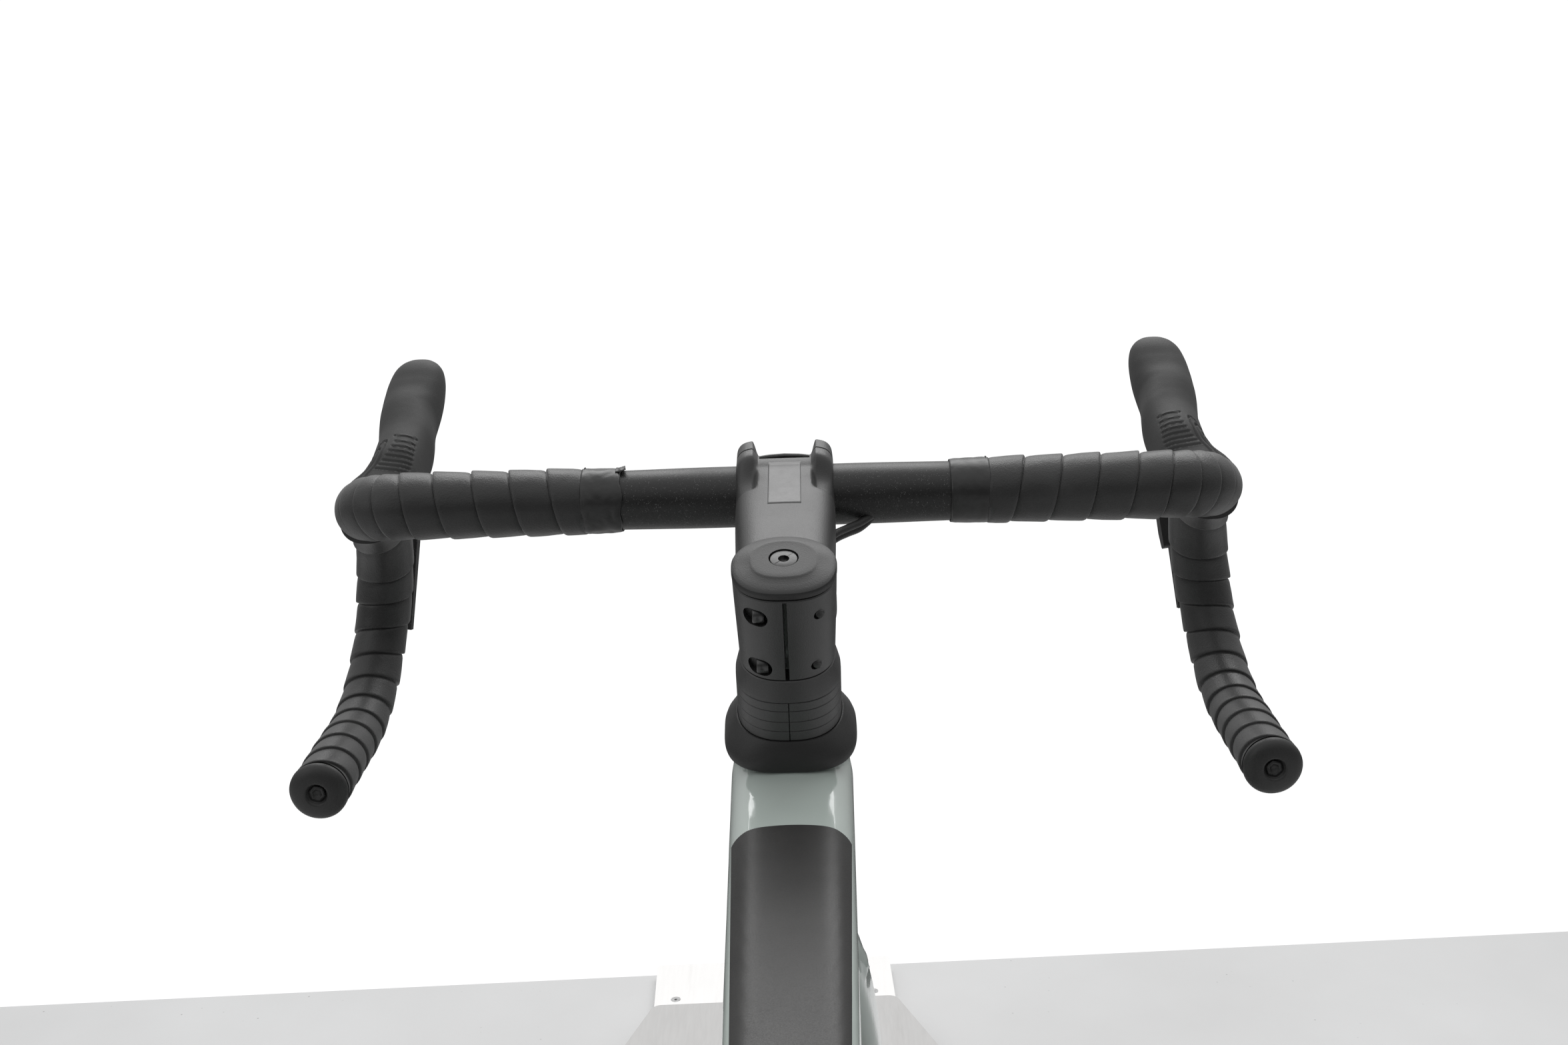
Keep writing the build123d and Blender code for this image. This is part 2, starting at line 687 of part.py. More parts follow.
with BuildPart() as saddle_shell:
    with BuildSketch(saddle_plane(saddle_low - 5.3)):
        saddle_outline(-4)
    extrude(amount=5)
    with BuildSketch(saddle_plane(saddle_low - 16)):
        with Locations((0, 100)):
            RectangleRounded(30, 20, 5)
        with Locations((0, -96)):
            RectangleRounded(84, 22, 8)
    extrude(amount=12)
write(saddle_shell.part, "saddle_shell")

with BuildPart() as saddle_rails:
    for s in (-1, 1):
        with BuildLine() as rail_line:
            FilletPolyline(
                at(s * 9, saddle_mid + 89.5, saddle_low - 10),
                at(s * 12, saddle_mid + 70, rail_level + 1),
                at(s * rail_half, saddle_mid + 40, rail_level),
                at(s * rail_half, saddle_mid - 48, rail_level),
                at(s * 30, saddle_mid - 84.6, saddle_low - 10),
                radius=12,
            )
        with BuildSketch(Plane(origin=rail_line.line @ 0, z_dir=rail_line.line % 0)):
            Circle(rail_r)
        sweep()
write(saddle_rails.part, "saddle_rails")

# ---- fork ----
steerer_r = 14.3


def fork_stations(s):
    return [
        (crown + steer_dir * -6 + X * (s * 16), 30, 46, 12),
        (crown + steer_dir * -52 + steer_fwd * 2 + X * (s * 30), 20, 42, 9),
        (crown + steer_dir * -150 + steer_fwd * 13 + X * (s * 39), 17, 36, 8),
        (crown + steer_dir * -290 + steer_fwd * 32 + X * (s * 53), 15, 28, 7),
        (front_axle + X * (s * 57), 13, 26, 6),
    ]


with BuildPart() as fork:
    for s in (-1, 1):
        stay(fork_stations(s))
        ring_x(front_axle, s * front_half, s * (front_half + 14), 15)
    with BuildSketch(axis_plane(-8 - head_tube_len - 6)):
        Ellipse(31, 27)
    with BuildSketch(axis_plane(-8 - head_tube_len - 24)):
        Ellipse(38, 26)
    loft()
    with BuildSketch(axis_plane(-8 - head_tube_len - 6)):
        Circle(19)
    extrude(amount=5.9)
    rod(crown, on_axis(stem_high - 3), steerer_r)
    # room for the tyre under the crown, the wheel between the legs and the axle
    ring_x(front_axle, -19.5, 19.5, wheel_r + 6, mode=Mode.SUBTRACT)
    ring_x(front_axle, -front_half + 0.05, front_half - 0.05, 30, mode=Mode.SUBTRACT)
    ring_x(front_axle, -90, 90, axle_r + 0.1, mode=Mode.SUBTRACT)
    with BuildSketch(axis_plane(stem_high - 3)):
        Circle(steerer_r - 2.3)
    extrude(amount=-230, mode=Mode.SUBTRACT)
write(fork.part, "fork")

with BuildPart() as front_axle_pin:
    ring_x(front_axle, -front_half - 17, front_half + 17, axle_r)
    for s in (-1, 1):
        near, far = front_half + 14.1, front_half + 18
        ring_x(front_axle, s * near, s * far, 9)
        with BuildSketch(side_plane(s * far, front_axle)):
            RegularPolygon(3.4, 6)
        extrude(amount=-s * 7, mode=Mode.SUBTRACT)
write(front_axle_pin.part, "front_axle")

front_caliper_at = front_axle + steer_dir * 66 - steer_fwd * 33
with BuildPart() as front_caliper:
    caliper(front_caliper_at, steer_dir, -56, -26, front_axle, front_rotor_x, front_rotor_r)
    for reach in (24, -24):
        with BuildSketch(Plane(origin=front_caliper_at + X * -51 + steer_dir * reach, z_dir=steer_fwd)):
            Circle(4.5)
        extrude(amount=16)
write(front_caliper.part, "front_caliper")

# ---- headset cover, spacers and stem ----


def collar_outline(half, back, front, corner):
    """A collar's plan: rounded in front, flatter behind."""
    with BuildLine() as outline:
        ThreePointArc((-half, 0), (0, front), (half, 0))
        Line((half, 0), (half * 0.93, -back + corner))
        ThreePointArc((half * 0.93, -back + corner), (0, -back), (-half * 0.93, -back + corner))
        Line((-half * 0.93, -back + corner), (-half, 0))
    make_face(outline.edges())


steerer_bore = steerer_r + 0.1
with BuildPart() as headset_cover:
    with BuildSketch(axis_plane(-7.6)):
        collar_outline(33.5, 33, 31, 14)
    with BuildSketch(axis_plane(0)):
        collar_outline(31.5, 31, 29, 13)
    with BuildSketch(axis_plane(8)):
        collar_outline(26.5, 27, 25.5, 11)
    loft(ruled=True)
    with BuildSketch(axis_plane(-8)):
        Circle(steerer_bore)
    extrude(amount=20, mode=Mode.SUBTRACT)
write(headset_cover.part, "headset_cover")

spacer_lines = [8.0, 13.7, 19.5, 26.0, 31.0]
with BuildPart() as spacers:
    for low, high in zip(spacer_lines, spacer_lines[1:]):
        with BuildSketch(axis_plane(low + 0.15)):
            collar_outline(25.2, 25.8, 24.5, 10)
        extrude(amount=high - low - 0.3)
    with BuildSketch(axis_plane(spacer_lines[-1] + 0.15)):
        collar_outline(25.2, 25.8, 24.5, 10)
    with BuildSketch(axis_plane(stem_low - 0.2)):
        collar_outline(23.2, 24, 23.5, 9.5)
    loft()
    with BuildSketch(axis_plane(0)):
        Circle(steerer_bore)
    extrude(amount=stem_low + 1, mode=Mode.SUBTRACT)
write(spacers.part, "spacers")

stem_dir = steer_fwd * cos(radians(stem_drop_angle)) - steer_dir * sin(radians(stem_drop_angle))
stem_up = steer_dir * cos(radians(stem_drop_angle)) + steer_fwd * sin(radians(stem_drop_angle))
stem_root = on_axis(stem_stack)
bar_centre = stem_root + stem_dir * stem_len
clamp_half, clamp_r = 23.7, 21.5
split_gap = 1.0


def along_stem(reach, high=0.0):
    """A plane square to the stem: its own x is across and its own y is up."""
    return Plane(origin=stem_root + stem_dir * reach + stem_up * high, x_dir=(-1, 0, 0), z_dir=stem_dir)


def bar_clamp_block():
    """The block round the handlebar, before it is split into stem and faceplate."""
    ring_x(bar_centre, -clamp_half, clamp_half, clamp_r)
    for s in (-1, 1):
        with BuildSketch(along_stem(stem_len, 0)) as ear:
            with Locations((s * 15.5, 0)):
                RectangleRounded(16, 45, 4)
        extrude(ear.sketch, amount=9, both=True)


def stem_cuts():
    """The bores for the handlebar, shared by the stem and its faceplate."""
    ring_x(bar_centre, -60, 60, bar_r + 0.05, mode=Mode.SUBTRACT)


with BuildPart() as stem:
    with BuildSketch(axis_plane(stem_low)):
        collar_outline(23.6, 24.4, 24, 10)
    with BuildSketch(axis_plane(stem_high - 0.2)):
        collar_outline(24.3, 25.2, 24, 10)
    loft()
    with BuildSketch(along_stem(0, 2)):
        RectangleRounded(47.4, 42, 10)
    with BuildSketch(along_stem(stem_len * 0.5, 1)):
        RectangleRounded(45.5, 40, 10)
    with BuildSketch(along_stem(stem_len - 12, 0)):
        RectangleRounded(47, 38, 9)
    loft()
    bar_clamp_block()
    stem_cuts()
    split(bisect_by=along_stem(stem_len - split_gap / 2), keep=Keep.BOTTOM)
    with BuildSketch(axis_plane(stem_low - 1)):
        Circle(steerer_bore)
    extrude(amount=60, mode=Mode.SUBTRACT)
    # the slit behind, and the pockets of the two clamp bolts
    with BuildSketch(axis_plane(stem_low - 1)):
        with Locations((0, -22)):
            Rectangle(1.8, 20)
    extrude(amount=60, mode=Mode.SUBTRACT)
    for high in (stem_low + 11, stem_high - 12):
        with BuildSketch(Plane(origin=on_axis(high, -20.5, -40), z_dir=(1, 0, 0))):
            Circle(4.6)
        extrude(amount=28, mode=Mode.SUBTRACT)
        with BuildSketch(Plane(origin=on_axis(high, -20.5, 0), z_dir=(1, 0, 0))):
            Circle(2.6)
        extrude(amount=40, mode=Mode.SUBTRACT)
write(stem.part, "stem")

with BuildPart() as stem_faceplate:
    bar_clamp_block()
    stem_cuts()
    split(bisect_by=along_stem(stem_len + split_gap / 2), keep=Keep.TOP)
write(stem_faceplate.part, "stem_faceplate")

cap_bolt_r = 6.5
with BuildPart() as top_cap:
    with BuildSketch(axis_plane(stem_high)):
        collar_outline(24.6, 25.6, 24.5, 10)
    with BuildSketch(axis_plane(stem_high + 3.2)):
        collar_outline(24.6, 25.6, 24.5, 10)
    loft()
    with BuildSketch(axis_plane(stem_high + 3.2)):
        collar_outline(24.6, 25.6, 24.5, 10)
    with BuildSketch(axis_plane(cap_high)):
        collar_outline(22.0, 20, 22, 8)
    loft()
    with BuildSketch(axis_plane(cap_high)):
        Circle(cap_bolt_r + 0.4)
    extrude(amount=-3.4, mode=Mode.SUBTRACT)
    with BuildSketch(axis_plane(cap_high)):
        Circle(3.3)
    extrude(amount=-8, mode=Mode.SUBTRACT)
write(top_cap.part, "top_cap")


def socket_bolt(plane, head_r, head_high, shank_r, length):
    """A socket head bolt: its head stands on the plane and its shank goes down."""
    with BuildSketch(plane) as head:
        Circle(head_r)
    extrude(head.sketch, amount=head_high)
    with BuildSketch(plane) as shank:
        Circle(shank_r)
    extrude(shank.sketch, amount=-length)
    with BuildSketch(plane.offset(head_high)) as socket:
        RegularPolygon(head_r * 0.5, 6)
    extrude(socket.sketch, amount=-head_high * 0.6, mode=Mode.SUBTRACT)


with BuildPart() as stem_bolts:
    socket_bolt(axis_plane(cap_high - 3.3), cap_bolt_r, 3.0, 3.0, 26)
    for high in (stem_low + 11, stem_high - 12):
        socket_bolt(Plane(origin=on_axis(high, -20.5, -13), z_dir=(-1, 0, 0)), 4.2, 5, 2.3, 30)
    for s in (-1, 1):
        for t in (-1, 1):
            face = stem_root + stem_dir * (stem_len + 9.1) + stem_up * (t * 18.6) + X * (s * 15.5)
            socket_bolt(Plane(origin=face, z_dir=stem_dir), 3.6, 3.4, 1.9, 0.01)
    # the expander that the cap bolt pulls on, inside the steerer
    with BuildSketch(axis_plane(stem_high - 32)):
        Circle(steerer_r - 2.5)
        Circle(3.1, mode=Mode.SUBTRACT)
    extrude(amount=22)
write(stem_bolts.part, "stem_bolts")

# ---- handlebar ----
fl = radians(flare_angle)
rp = radians(ramp_angle)
fwd = Vector(0, 1, 0)


def drop_up(s):
    """The direction up the plane of one drop, which leans in at the top."""
    return Vector(-s * sin(fl), 0, cos(fl))


def on_drop(s, forward, up):
    """A point of one drop's plane, from the end of the bar's straight top."""
    return bar_centre + X * (s * bar_width / 2) + fwd * forward + drop_up(s) * up


def drop_path(s):
    """The points of one half of the handlebar, from the end of its straight top."""
    middle = drop_bend_r - drop_depth
    forward = (-middle * cos(rp) - drop_bend_r) / sin(rp)

    def on_bend(angle):
        return on_drop(s, forward + drop_bend_r * cos(angle), middle + drop_bend_r * sin(angle))

    top_angle = pi / 2 - rp
    corner = on_drop(s, 0, 0)
    tail = on_drop(s, -drop_tail, -drop_depth)
    return corner - X * (s * bend_r), corner, on_bend(top_angle), on_bend(-rp / 2), on_bend(-pi / 2), tail


def swept_bend(points, radius, inner=0.0, mode=Mode.ADD):
    """The curved half of the bar as a tube: elbow, ramp, drop bend and tail."""
    straight_end, corner, bend_start, bend_mid, bend_end, tail = points
    with BuildLine() as path:
        a = corner - (corner - straight_end).normalized() * bend_r
        FilletPolyline(a, corner, bend_start, radius=bend_r * 0.9)
        ThreePointArc(bend_start, bend_mid, bend_end)
        Line(bend_end, tail)
    with BuildSketch(Plane(origin=a, z_dir=corner - a)) as tube:
        Circle(radius)
        if inner:
            Circle(inner, mode=Mode.SUBTRACT)
    sweep(tube.sketch, path=path.line, mode=mode)


bar_wall = 2.2
tops_end = drop_path(1)[0].X
with BuildPart() as handlebar:
    ring_x(bar_centre, -tops_end, tops_end, bar_r, drop_r - bar_wall)
    ring_x(bar_centre, -tops_end + 4, tops_end - 4, bar_r - bar_wall, mode=Mode.SUBTRACT)
    for s in (-1, 1):
        swept_bend(drop_path(s), drop_r, drop_r - bar_wall)
    # hoses go into the bar behind the stem's right side
    with Locations(Location(bar_centre + X * 47 + Vector(0, -bar_r, -2))):
        Box(13, 12, 7, mode=Mode.SUBTRACT)
write(handlebar.part, "handlebar")

for side in ("left", "right"):
    s = mirrored(side)
    with BuildPart() as bar_tape:
        low = tape_start if s > 0 else -tops_end
        ring_x(bar_centre, low, low + tops_end - tape_start, tape_top_r, bar_r + 0.05)
        ring_x(bar_centre, s * tops_end, s * (tops_end + 1.5), tape_top_r, drop_r + 0.1)
        swept_bend(drop_path(s), tape_drop_r, drop_r + 0.05)
    write(bar_tape.part, f"bar_tape_{side}")

with BuildPart() as finishing_tape:
    for low in (tape_start - band_width, -tape_start):
        ring_x(bar_centre, low + 0.1, low + band_width - 0.1, bar_r + 0.9, bar_r + 0.05)
write(finishing_tape.part, "finishing_tape")

plug_r, plug_thick = 15.0, 6.5
with BuildPart() as bar_plugs:
    for s in (-1, 1):
        end = drop_path(s)[-1]
        with BuildSketch(Plane(origin=end - fwd * 0.05, z_dir=-fwd)):
            Circle(plug_r)
        extrude(amount=plug_thick, taper=12)
        with BuildSketch(Plane(origin=end - fwd, z_dir=fwd)):
            Circle(drop_r - bar_wall - 0.1)
        extrude(amount=17)
        with BuildSketch(Plane(origin=end - fwd * (plug_thick + 1), z_dir=fwd)):
            Circle(4.6)
        extrude(amount=4.5, mode=Mode.SUBTRACT)
    fillet(edges().filter_by(GeomType.CIRCLE).group_by(Axis.Y)[0], 1.0)
write(bar_plugs.part, "bar_plugs")

# ---- hoods and levers ----
pivot_fwd, pivot_up, pivot_r = 134.0, 1.0, 2.4
blade_half, slot_half = 7.5, 8.1
hood_stations = [
    (52.0, -14.0, 34.0, 34.0, 4.0),
    (74.0, -4.0, 31.0, 43.0, 10.0),
    (98.0, 5.0, 30.0, 46.0, 16.0),
    (120.0, 16.0, 34.0, 47.0, 30.0),
    (135.0, 28.0, 37.0, 42.0, 48.0),
    (144.0, 40.0, 36.0, 34.0, 62.0),
    (149.0, 51.0, 22.0, 18.0, 66.0),
]


def drop_side(s, off=0.0):
    """The plane of one drop: its own x is forward and its own y is up."""
    out = Vector(cos(fl), 0, s * sin(fl))
    return Plane(origin=on_drop(s, 0, 0) + out * off, x_dir=fwd, z_dir=out)


for side in ("left", "right"):
    s = mirrored(side)
    with BuildPart() as hood:
        for forward, up, wide, high, tilt in hood_stations:
            a = radians(tilt)
            along = fwd * cos(a) + drop_up(s) * sin(a)
            with BuildSketch(Plane(origin=on_drop(s, forward, up), x_dir=(1, 0, 0), z_dir=along)):
                Ellipse(wide / 2, high / 2)
        loft()
        swept_bend(drop_path(s), tape_drop_r + 0.1, mode=Mode.SUBTRACT)
        with BuildSketch(drop_side(s, -slot_half)):
            with Locations((pivot_fwd, pivot_up)):
                Circle(10.5)
            with Locations((pivot_fwd + 2, pivot_up - 20)):
                Rectangle(25, 40)
            with Locations((pivot_fwd + 14, pivot_up - 6)):
                Rectangle(28, 28)
        extrude(amount=2 * slot_half, mode=Mode.SUBTRACT)
        with BuildSketch(drop_side(s, -13)):
            with Locations((pivot_fwd, pivot_up)):
                Circle(pivot_r)
        extrude(amount=26)
    write(hood.part, f"hood_{side}")
    with BuildPart() as blade:
        with BuildSketch(drop_side(s, -blade_half)):
            with Locations((pivot_fwd, pivot_up)):
                Circle(8.5)
            Polygon(
                (pivot_fwd + 8, pivot_up + 3),
                (pivot_fwd + 6, -32),
                (pivot_fwd, -76),
                (pivot_fwd - 5, -112),
                (pivot_fwd - 12, -110),
                (pivot_fwd - 9, -76),
                (pivot_fwd - 5, -32),
                (pivot_fwd - 8, pivot_up - 2),
                align=None,
            )
        extrude(amount=2 * blade_half)
        with BuildSketch(drop_side(s, -20)):
            with Locations((pivot_fwd, pivot_up)):
                Circle(pivot_r + 0.06)
        extrude(amount=40, mode=Mode.SUBTRACT)
    write(blade.part, f"brake_lever_{side}")

paddle_in, paddle_thick = -blade_half - 6.5, 5.0
with BuildPart() as shift_paddle:
    with BuildSketch(drop_side(1, paddle_in)):
        Polygon(
            (pivot_fwd - 12, -26),
            (pivot_fwd - 6, -28),
            (pivot_fwd - 10, -62),
            (pivot_fwd - 16, -70),
            (pivot_fwd - 25, -66),
            (pivot_fwd - 20, -46),
            align=None,
        )
        fillet(vertices(), 2.5)
    extrude(amount=paddle_thick)
write(shift_paddle.part, "shift_paddle")

with BuildPart() as steering_hoses:
    for lift in (0, 6.2):
        begin = stem_root + stem_dir * (72 - lift) + stem_up * (-13) + X * (clamp_half + 0.1)
        finish = bar_centre + X * (43.5 + lift) + Vector(0, -bar_r - 0.2, -2)
        with BuildLine() as hose_line:
            FilletPolyline(
                begin,
                begin + Vector(8 + lift, 3, 0),
                finish + Vector(-3, -8, -2),
                finish,
                radius=[8, 6],
            )
        with BuildSketch(Plane(origin=begin, z_dir=hose_line.line % 0)):
            Circle(hose_r)
        sweep()
    begin = front_caliper_at + steer_dir * 31.5 + X * -46
    with BuildLine() as hose_line:
        FilletPolyline(
            begin,
            begin + steer_dir * 24 - steer_fwd * 4,
            begin + steer_dir * 50 + steer_fwd * 6,
            begin + steer_dir * 74 + steer_fwd * 18,
            radius=[40, 40],
        )
    with BuildSketch(Plane(origin=begin, z_dir=hose_line.line % 0)):
        Circle(hose_r)
    sweep()
write(steering_hoses.part, "steering_hoses")

# ---- wheels ----
rim_top, rim_low, rim_half = 314.0, 285.0, 13.0
spoke_count, spoke_r = 24, 0.95
flange_r, flange_hole_r = 23.0, 20.5


def wheel_section(centre):
    """A plane through an axle: its own x is out from the axle and its own y is along X."""
    return Plane(origin=centre, x_dir=(0, 0, 1), z_dir=(0, 1, 0))


def hub_profile(end_low, end_high, flanges, rotor_x):
    """Half the section of a hub: thin ends, two flanges and the rotor's seat."""
    low, high = flanges
    Polygon(
        (axle_r + fit, end_low),
        (9.5, end_low),
        (9.5, rotor_x - 3),
        (14.8, rotor_x - 3),
        (14.8, rotor_x + 2),
        (17, rotor_x + 2),
        (17, low - 1.6),
        (flange_r, low - 1.6),
        (flange_r, low + 1.6),
        (13, low + 4),
        (13, high - 4),
        (flange_r, high - 1.6),
        (flange_r, high + 1.6),
        (11, high + 3),
        (11, end_high),
        (axle_r + fit, end_high),
        align=None,
    )


wheels = {
    "front": (front_axle, (-24.0, 33.0), -front_half + 0.3, front_half - 0.3, front_rotor_x, front_rotor_r),
    "rear": (rear_axle, (-34.0, 19.0), -rear_half + 0.3, first_cog_x - 2.0, rear_rotor_x, rear_rotor_r),
}
for name, (centre, flanges, end_low, end_high, rotor_x, rotor_r) in wheels.items():
    spin = Axis(tuple(centre), (1, 0, 0))
    with BuildPart() as tyre:
        with BuildSketch(wheel_section(centre)):
            with Locations((wheel_r - tyre_half, 0)):
                Circle(tyre_half)
                Circle(tyre_half - 2.6, mode=Mode.SUBTRACT)
            with Locations((rim_top - 4, 0)):
                Rectangle(9, 14, mode=Mode.SUBTRACT)
        revolve(axis=spin)
    write(tyre.part, f"{name}_tyre")
    with BuildPart() as rim:
        with BuildSketch(wheel_section(centre)):
            with BuildLine():
                Polyline((rim_top, rim_half), (rim_top - 8, rim_half + 0.6), (rim_low + 4, 7))
                ThreePointArc((rim_low + 4, 7), (rim_low, 0), (rim_low + 4, -7))
                Polyline((rim_low + 4, -7), (rim_top - 8, -rim_half - 0.6), (rim_top, -rim_half))
                Line((rim_top, -rim_half), (rim_top, rim_half))
            make_face()
            with Locations((rim_top - 2.5, 0)):
                Rectangle(7, 20.6, mode=Mode.SUBTRACT)
        revolve(axis=spin)
        # the valve stands inwards from the rim
        with BuildSketch(Plane(origin=centre + Vector(0, 0, rim_low + 1), z_dir=(0, 0, -1))):
            Circle(3.0)
        extrude(amount=34)
    write(rim.part, f"{name}_rim")
    with BuildPart() as spokes:
        for flange, x in enumerate(flanges):
            for i in range(spoke_count // 2):
                turn = 2 * pi * (2 * i + flange + 0.5) / spoke_count
                lean = (1 if i % 2 else -1) * 2 * pi * 2.6 / spoke_count * 1.25
                off = 3.0 if i % 2 else -3.0
                hole = turn + lean
                hub_at = centre + Vector(x + off, flange_hole_r * sin(hole), flange_hole_r * cos(hole))
                end_r = rim_low - 0.4
                rim_at = centre + Vector((1 if flange else -1) * 3, end_r * sin(turn), end_r * cos(turn))
                run = rim_at - hub_at
                with BuildSketch(Plane(origin=hub_at, z_dir=run)):
                    Circle(spoke_r)
                extrude(amount=run.length)
                nipple = rim_at - run.normalized() * 12
                with BuildSketch(Plane(origin=nipple, z_dir=run)):
                    Circle(1.9)
                extrude(amount=12)
    write(spokes.part, f"{name}_spokes")
    with BuildPart() as hub:
        with BuildSketch(wheel_section(centre)):
            hub_profile(end_low, end_high, flanges, rotor_x)
        revolve(axis=spin)
    write(hub.part, f"{name}_hub")
    with BuildPart() as rotor:
        with BuildSketch(side_plane(rotor_x - rotor_thick / 2, centre)):
            Circle(rotor_r)
            Circle(rotor_r - 14, mode=Mode.SUBTRACT)
            Circle(24)
            for i in range(6):
                with Locations(Location((0, 0, 0), (0, 0, 60 * i))):
                    with Locations(Location(((rotor_r + 12) / 2 - 6, 6, 0), (0, 0, 18))):
                        Rectangle(rotor_r - 22, 7)
            Circle(14.9, mode=Mode.SUBTRACT)
            with PolarLocations(rotor_r - 4.5, 30):
                Circle(2.0, mode=Mode.SUBTRACT)
            with PolarLocations(rotor_r - 9.5, 30, start_angle=6):
                Circle(1.8, mode=Mode.SUBTRACT)
        extrude(amount=rotor_thick)
    write(rotor.part, f"{name}_rotor")
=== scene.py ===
from math import atan2, copysign, cos, hypot, pi, radians, sin, sqrt, tan

import bmesh
import bpy
from mathutils import Matrix, Vector, noise
from mathutils.bvhtree import BVHTree


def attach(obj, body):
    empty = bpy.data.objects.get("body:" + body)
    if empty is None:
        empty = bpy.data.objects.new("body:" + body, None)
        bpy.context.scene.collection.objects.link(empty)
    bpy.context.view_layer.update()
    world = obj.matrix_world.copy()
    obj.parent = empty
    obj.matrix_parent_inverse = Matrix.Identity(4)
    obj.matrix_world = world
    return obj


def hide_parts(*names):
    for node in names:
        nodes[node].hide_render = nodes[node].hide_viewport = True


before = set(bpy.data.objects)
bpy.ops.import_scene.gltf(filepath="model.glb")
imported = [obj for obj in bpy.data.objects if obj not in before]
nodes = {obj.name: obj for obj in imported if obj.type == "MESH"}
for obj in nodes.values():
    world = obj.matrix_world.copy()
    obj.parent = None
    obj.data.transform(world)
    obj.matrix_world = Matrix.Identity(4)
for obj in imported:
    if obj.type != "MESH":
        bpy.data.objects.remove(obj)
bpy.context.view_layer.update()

MM = 0.001
TURN = 2 * pi
X = Vector((1, 0, 0))
FORWARD = Vector((0, 1, 0))
UP = Vector((0, 0, 1))

# ---- sizes in millimetres, in the row frame ----
BAR_CENTRE = Vector((0, 470.124, 974.974))
BAR_WIDTH = 449.0
BEND_R, RAMP, FLARE = 30.0, radians(18), radians(8)
DROP_BEND_R, DROP_DEPTH, DROP_TAIL = 64.0, 135.8, 54.7
TAPE_START, BAND_WIDTH = 104.0, 19.0
FRONT_AXLE = Vector((0, 606.3, 374.4))
REAR_AXLE = Vector((0, -420.0, 374.4))
BB = Vector((0, 0, 309.4))
WHEEL_R, TYRE_HALF = 344.0, 16.5


# ---- materials ----
class Shader:
    """A principled material and the few nodes that give it its detail."""

    def __init__(self, name, stretch=(1, 1, 1)):
        self.material = bpy.data.materials.new(name)
        self.material.use_nodes = True
        self.tree = self.material.node_tree
        self.bsdf = self.tree.nodes["Principled BSDF"]
        coords = self.node("ShaderNodeTexCoord")
        mapping = self.node("ShaderNodeMapping")
        mapping.inputs["Scale"].default_value = stretch
        self.join(coords.outputs["Object"], mapping.inputs["Vector"])
        self.place = mapping.outputs["Vector"]
        self.raw = coords.outputs["Object"]

    def node(self, kind, **values):
        made = self.tree.nodes.new(kind)
        for key, value in values.items():
            setattr(made, key, value)
        return made

    def join(self, a, b):
        self.tree.links.new(a, b)

    def noise(self, scale, detail=4.0, rough=0.55):
        made = self.node("ShaderNodeTexNoise")
        made.inputs["Scale"].default_value = scale
        made.inputs["Detail"].default_value = detail
        made.inputs["Roughness"].default_value = rough
        self.join(self.place, made.inputs["Vector"])
        return made.outputs["Fac"]

    def cells(self, scale, feature="F1"):
        made = self.node("ShaderNodeTexVoronoi", feature=feature)
        made.inputs["Scale"].default_value = scale
        self.join(self.place, made.inputs["Vector"])
        return made.outputs["Distance"]

    def ramp(self, fac, stops):
        made = self.node("ShaderNodeValToRGB")
        band = made.color_ramp
        while len(band.elements) < len(stops):
            band.elements.new(0.5)
        for element, (at, colour) in zip(band.elements, stops):
            element.position = at
            element.color = (*colour, 1)
        self.join(fac, made.inputs["Fac"])
        return made.outputs["Color"]

    def spread(self, fac, low, high, start=0.3, end=0.7):
        made = self.node("ShaderNodeMapRange")
        for key, value in (("From Min", start), ("From Max", end), ("To Min", low), ("To Max", high)):
            made.inputs[key].default_value = value
        self.join(fac, made.inputs["Value"])
        return made.outputs["Result"]

    def math(self, operation, a, b=None):
        made = self.node("ShaderNodeMath", operation=operation)
        for slot, value in zip(made.inputs, (a, b)):
            if value is None:
                continue
            if isinstance(value, (int, float)):
                slot.default_value = value
            else:
                self.join(value, slot)
        return made.outputs["Value"]

    def mix(self, fac, a, b):
        made = self.node("ShaderNodeMix", data_type="RGBA")
        self.join(fac, made.inputs["Factor"])
        for slot, value in ((made.inputs[6], a), (made.inputs[7], b)):
            if isinstance(value, tuple):
                slot.default_value = (*value, 1)
            else:
                self.join(value, slot)
        return made.outputs[2]

    def bump(self, height, strength, distance, after=None):
        made = self.node("ShaderNodeBump")
        made.inputs["Strength"].default_value = strength
        made.inputs["Distance"].default_value = distance
        self.join(height, made.inputs["Height"])
        if after is not None:
            self.join(after, made.inputs["Normal"])
        return made.outputs["Normal"]

    def finish(self, colour, rough, normal=None, metallic=0.0, coat=0.0, coat_rough=0.05,
               specular=0.5, sheen=0.0):
        self.join(colour, self.bsdf.inputs["Base Color"])
        self.join(rough, self.bsdf.inputs["Roughness"])
        if normal is not None:
            self.join(normal, self.bsdf.inputs["Normal"])
        self.bsdf.inputs["Metallic"].default_value = metallic
        self.bsdf.inputs["Coat Weight"].default_value = coat
        self.bsdf.inputs["Coat Roughness"].default_value = coat_rough
        self.bsdf.inputs["Specular IOR Level"].default_value = specular
        self.bsdf.inputs["Sheen Weight"].default_value = sheen
        self.bsdf.inputs["Sheen Roughness"].default_value = 0.5
        return self.material


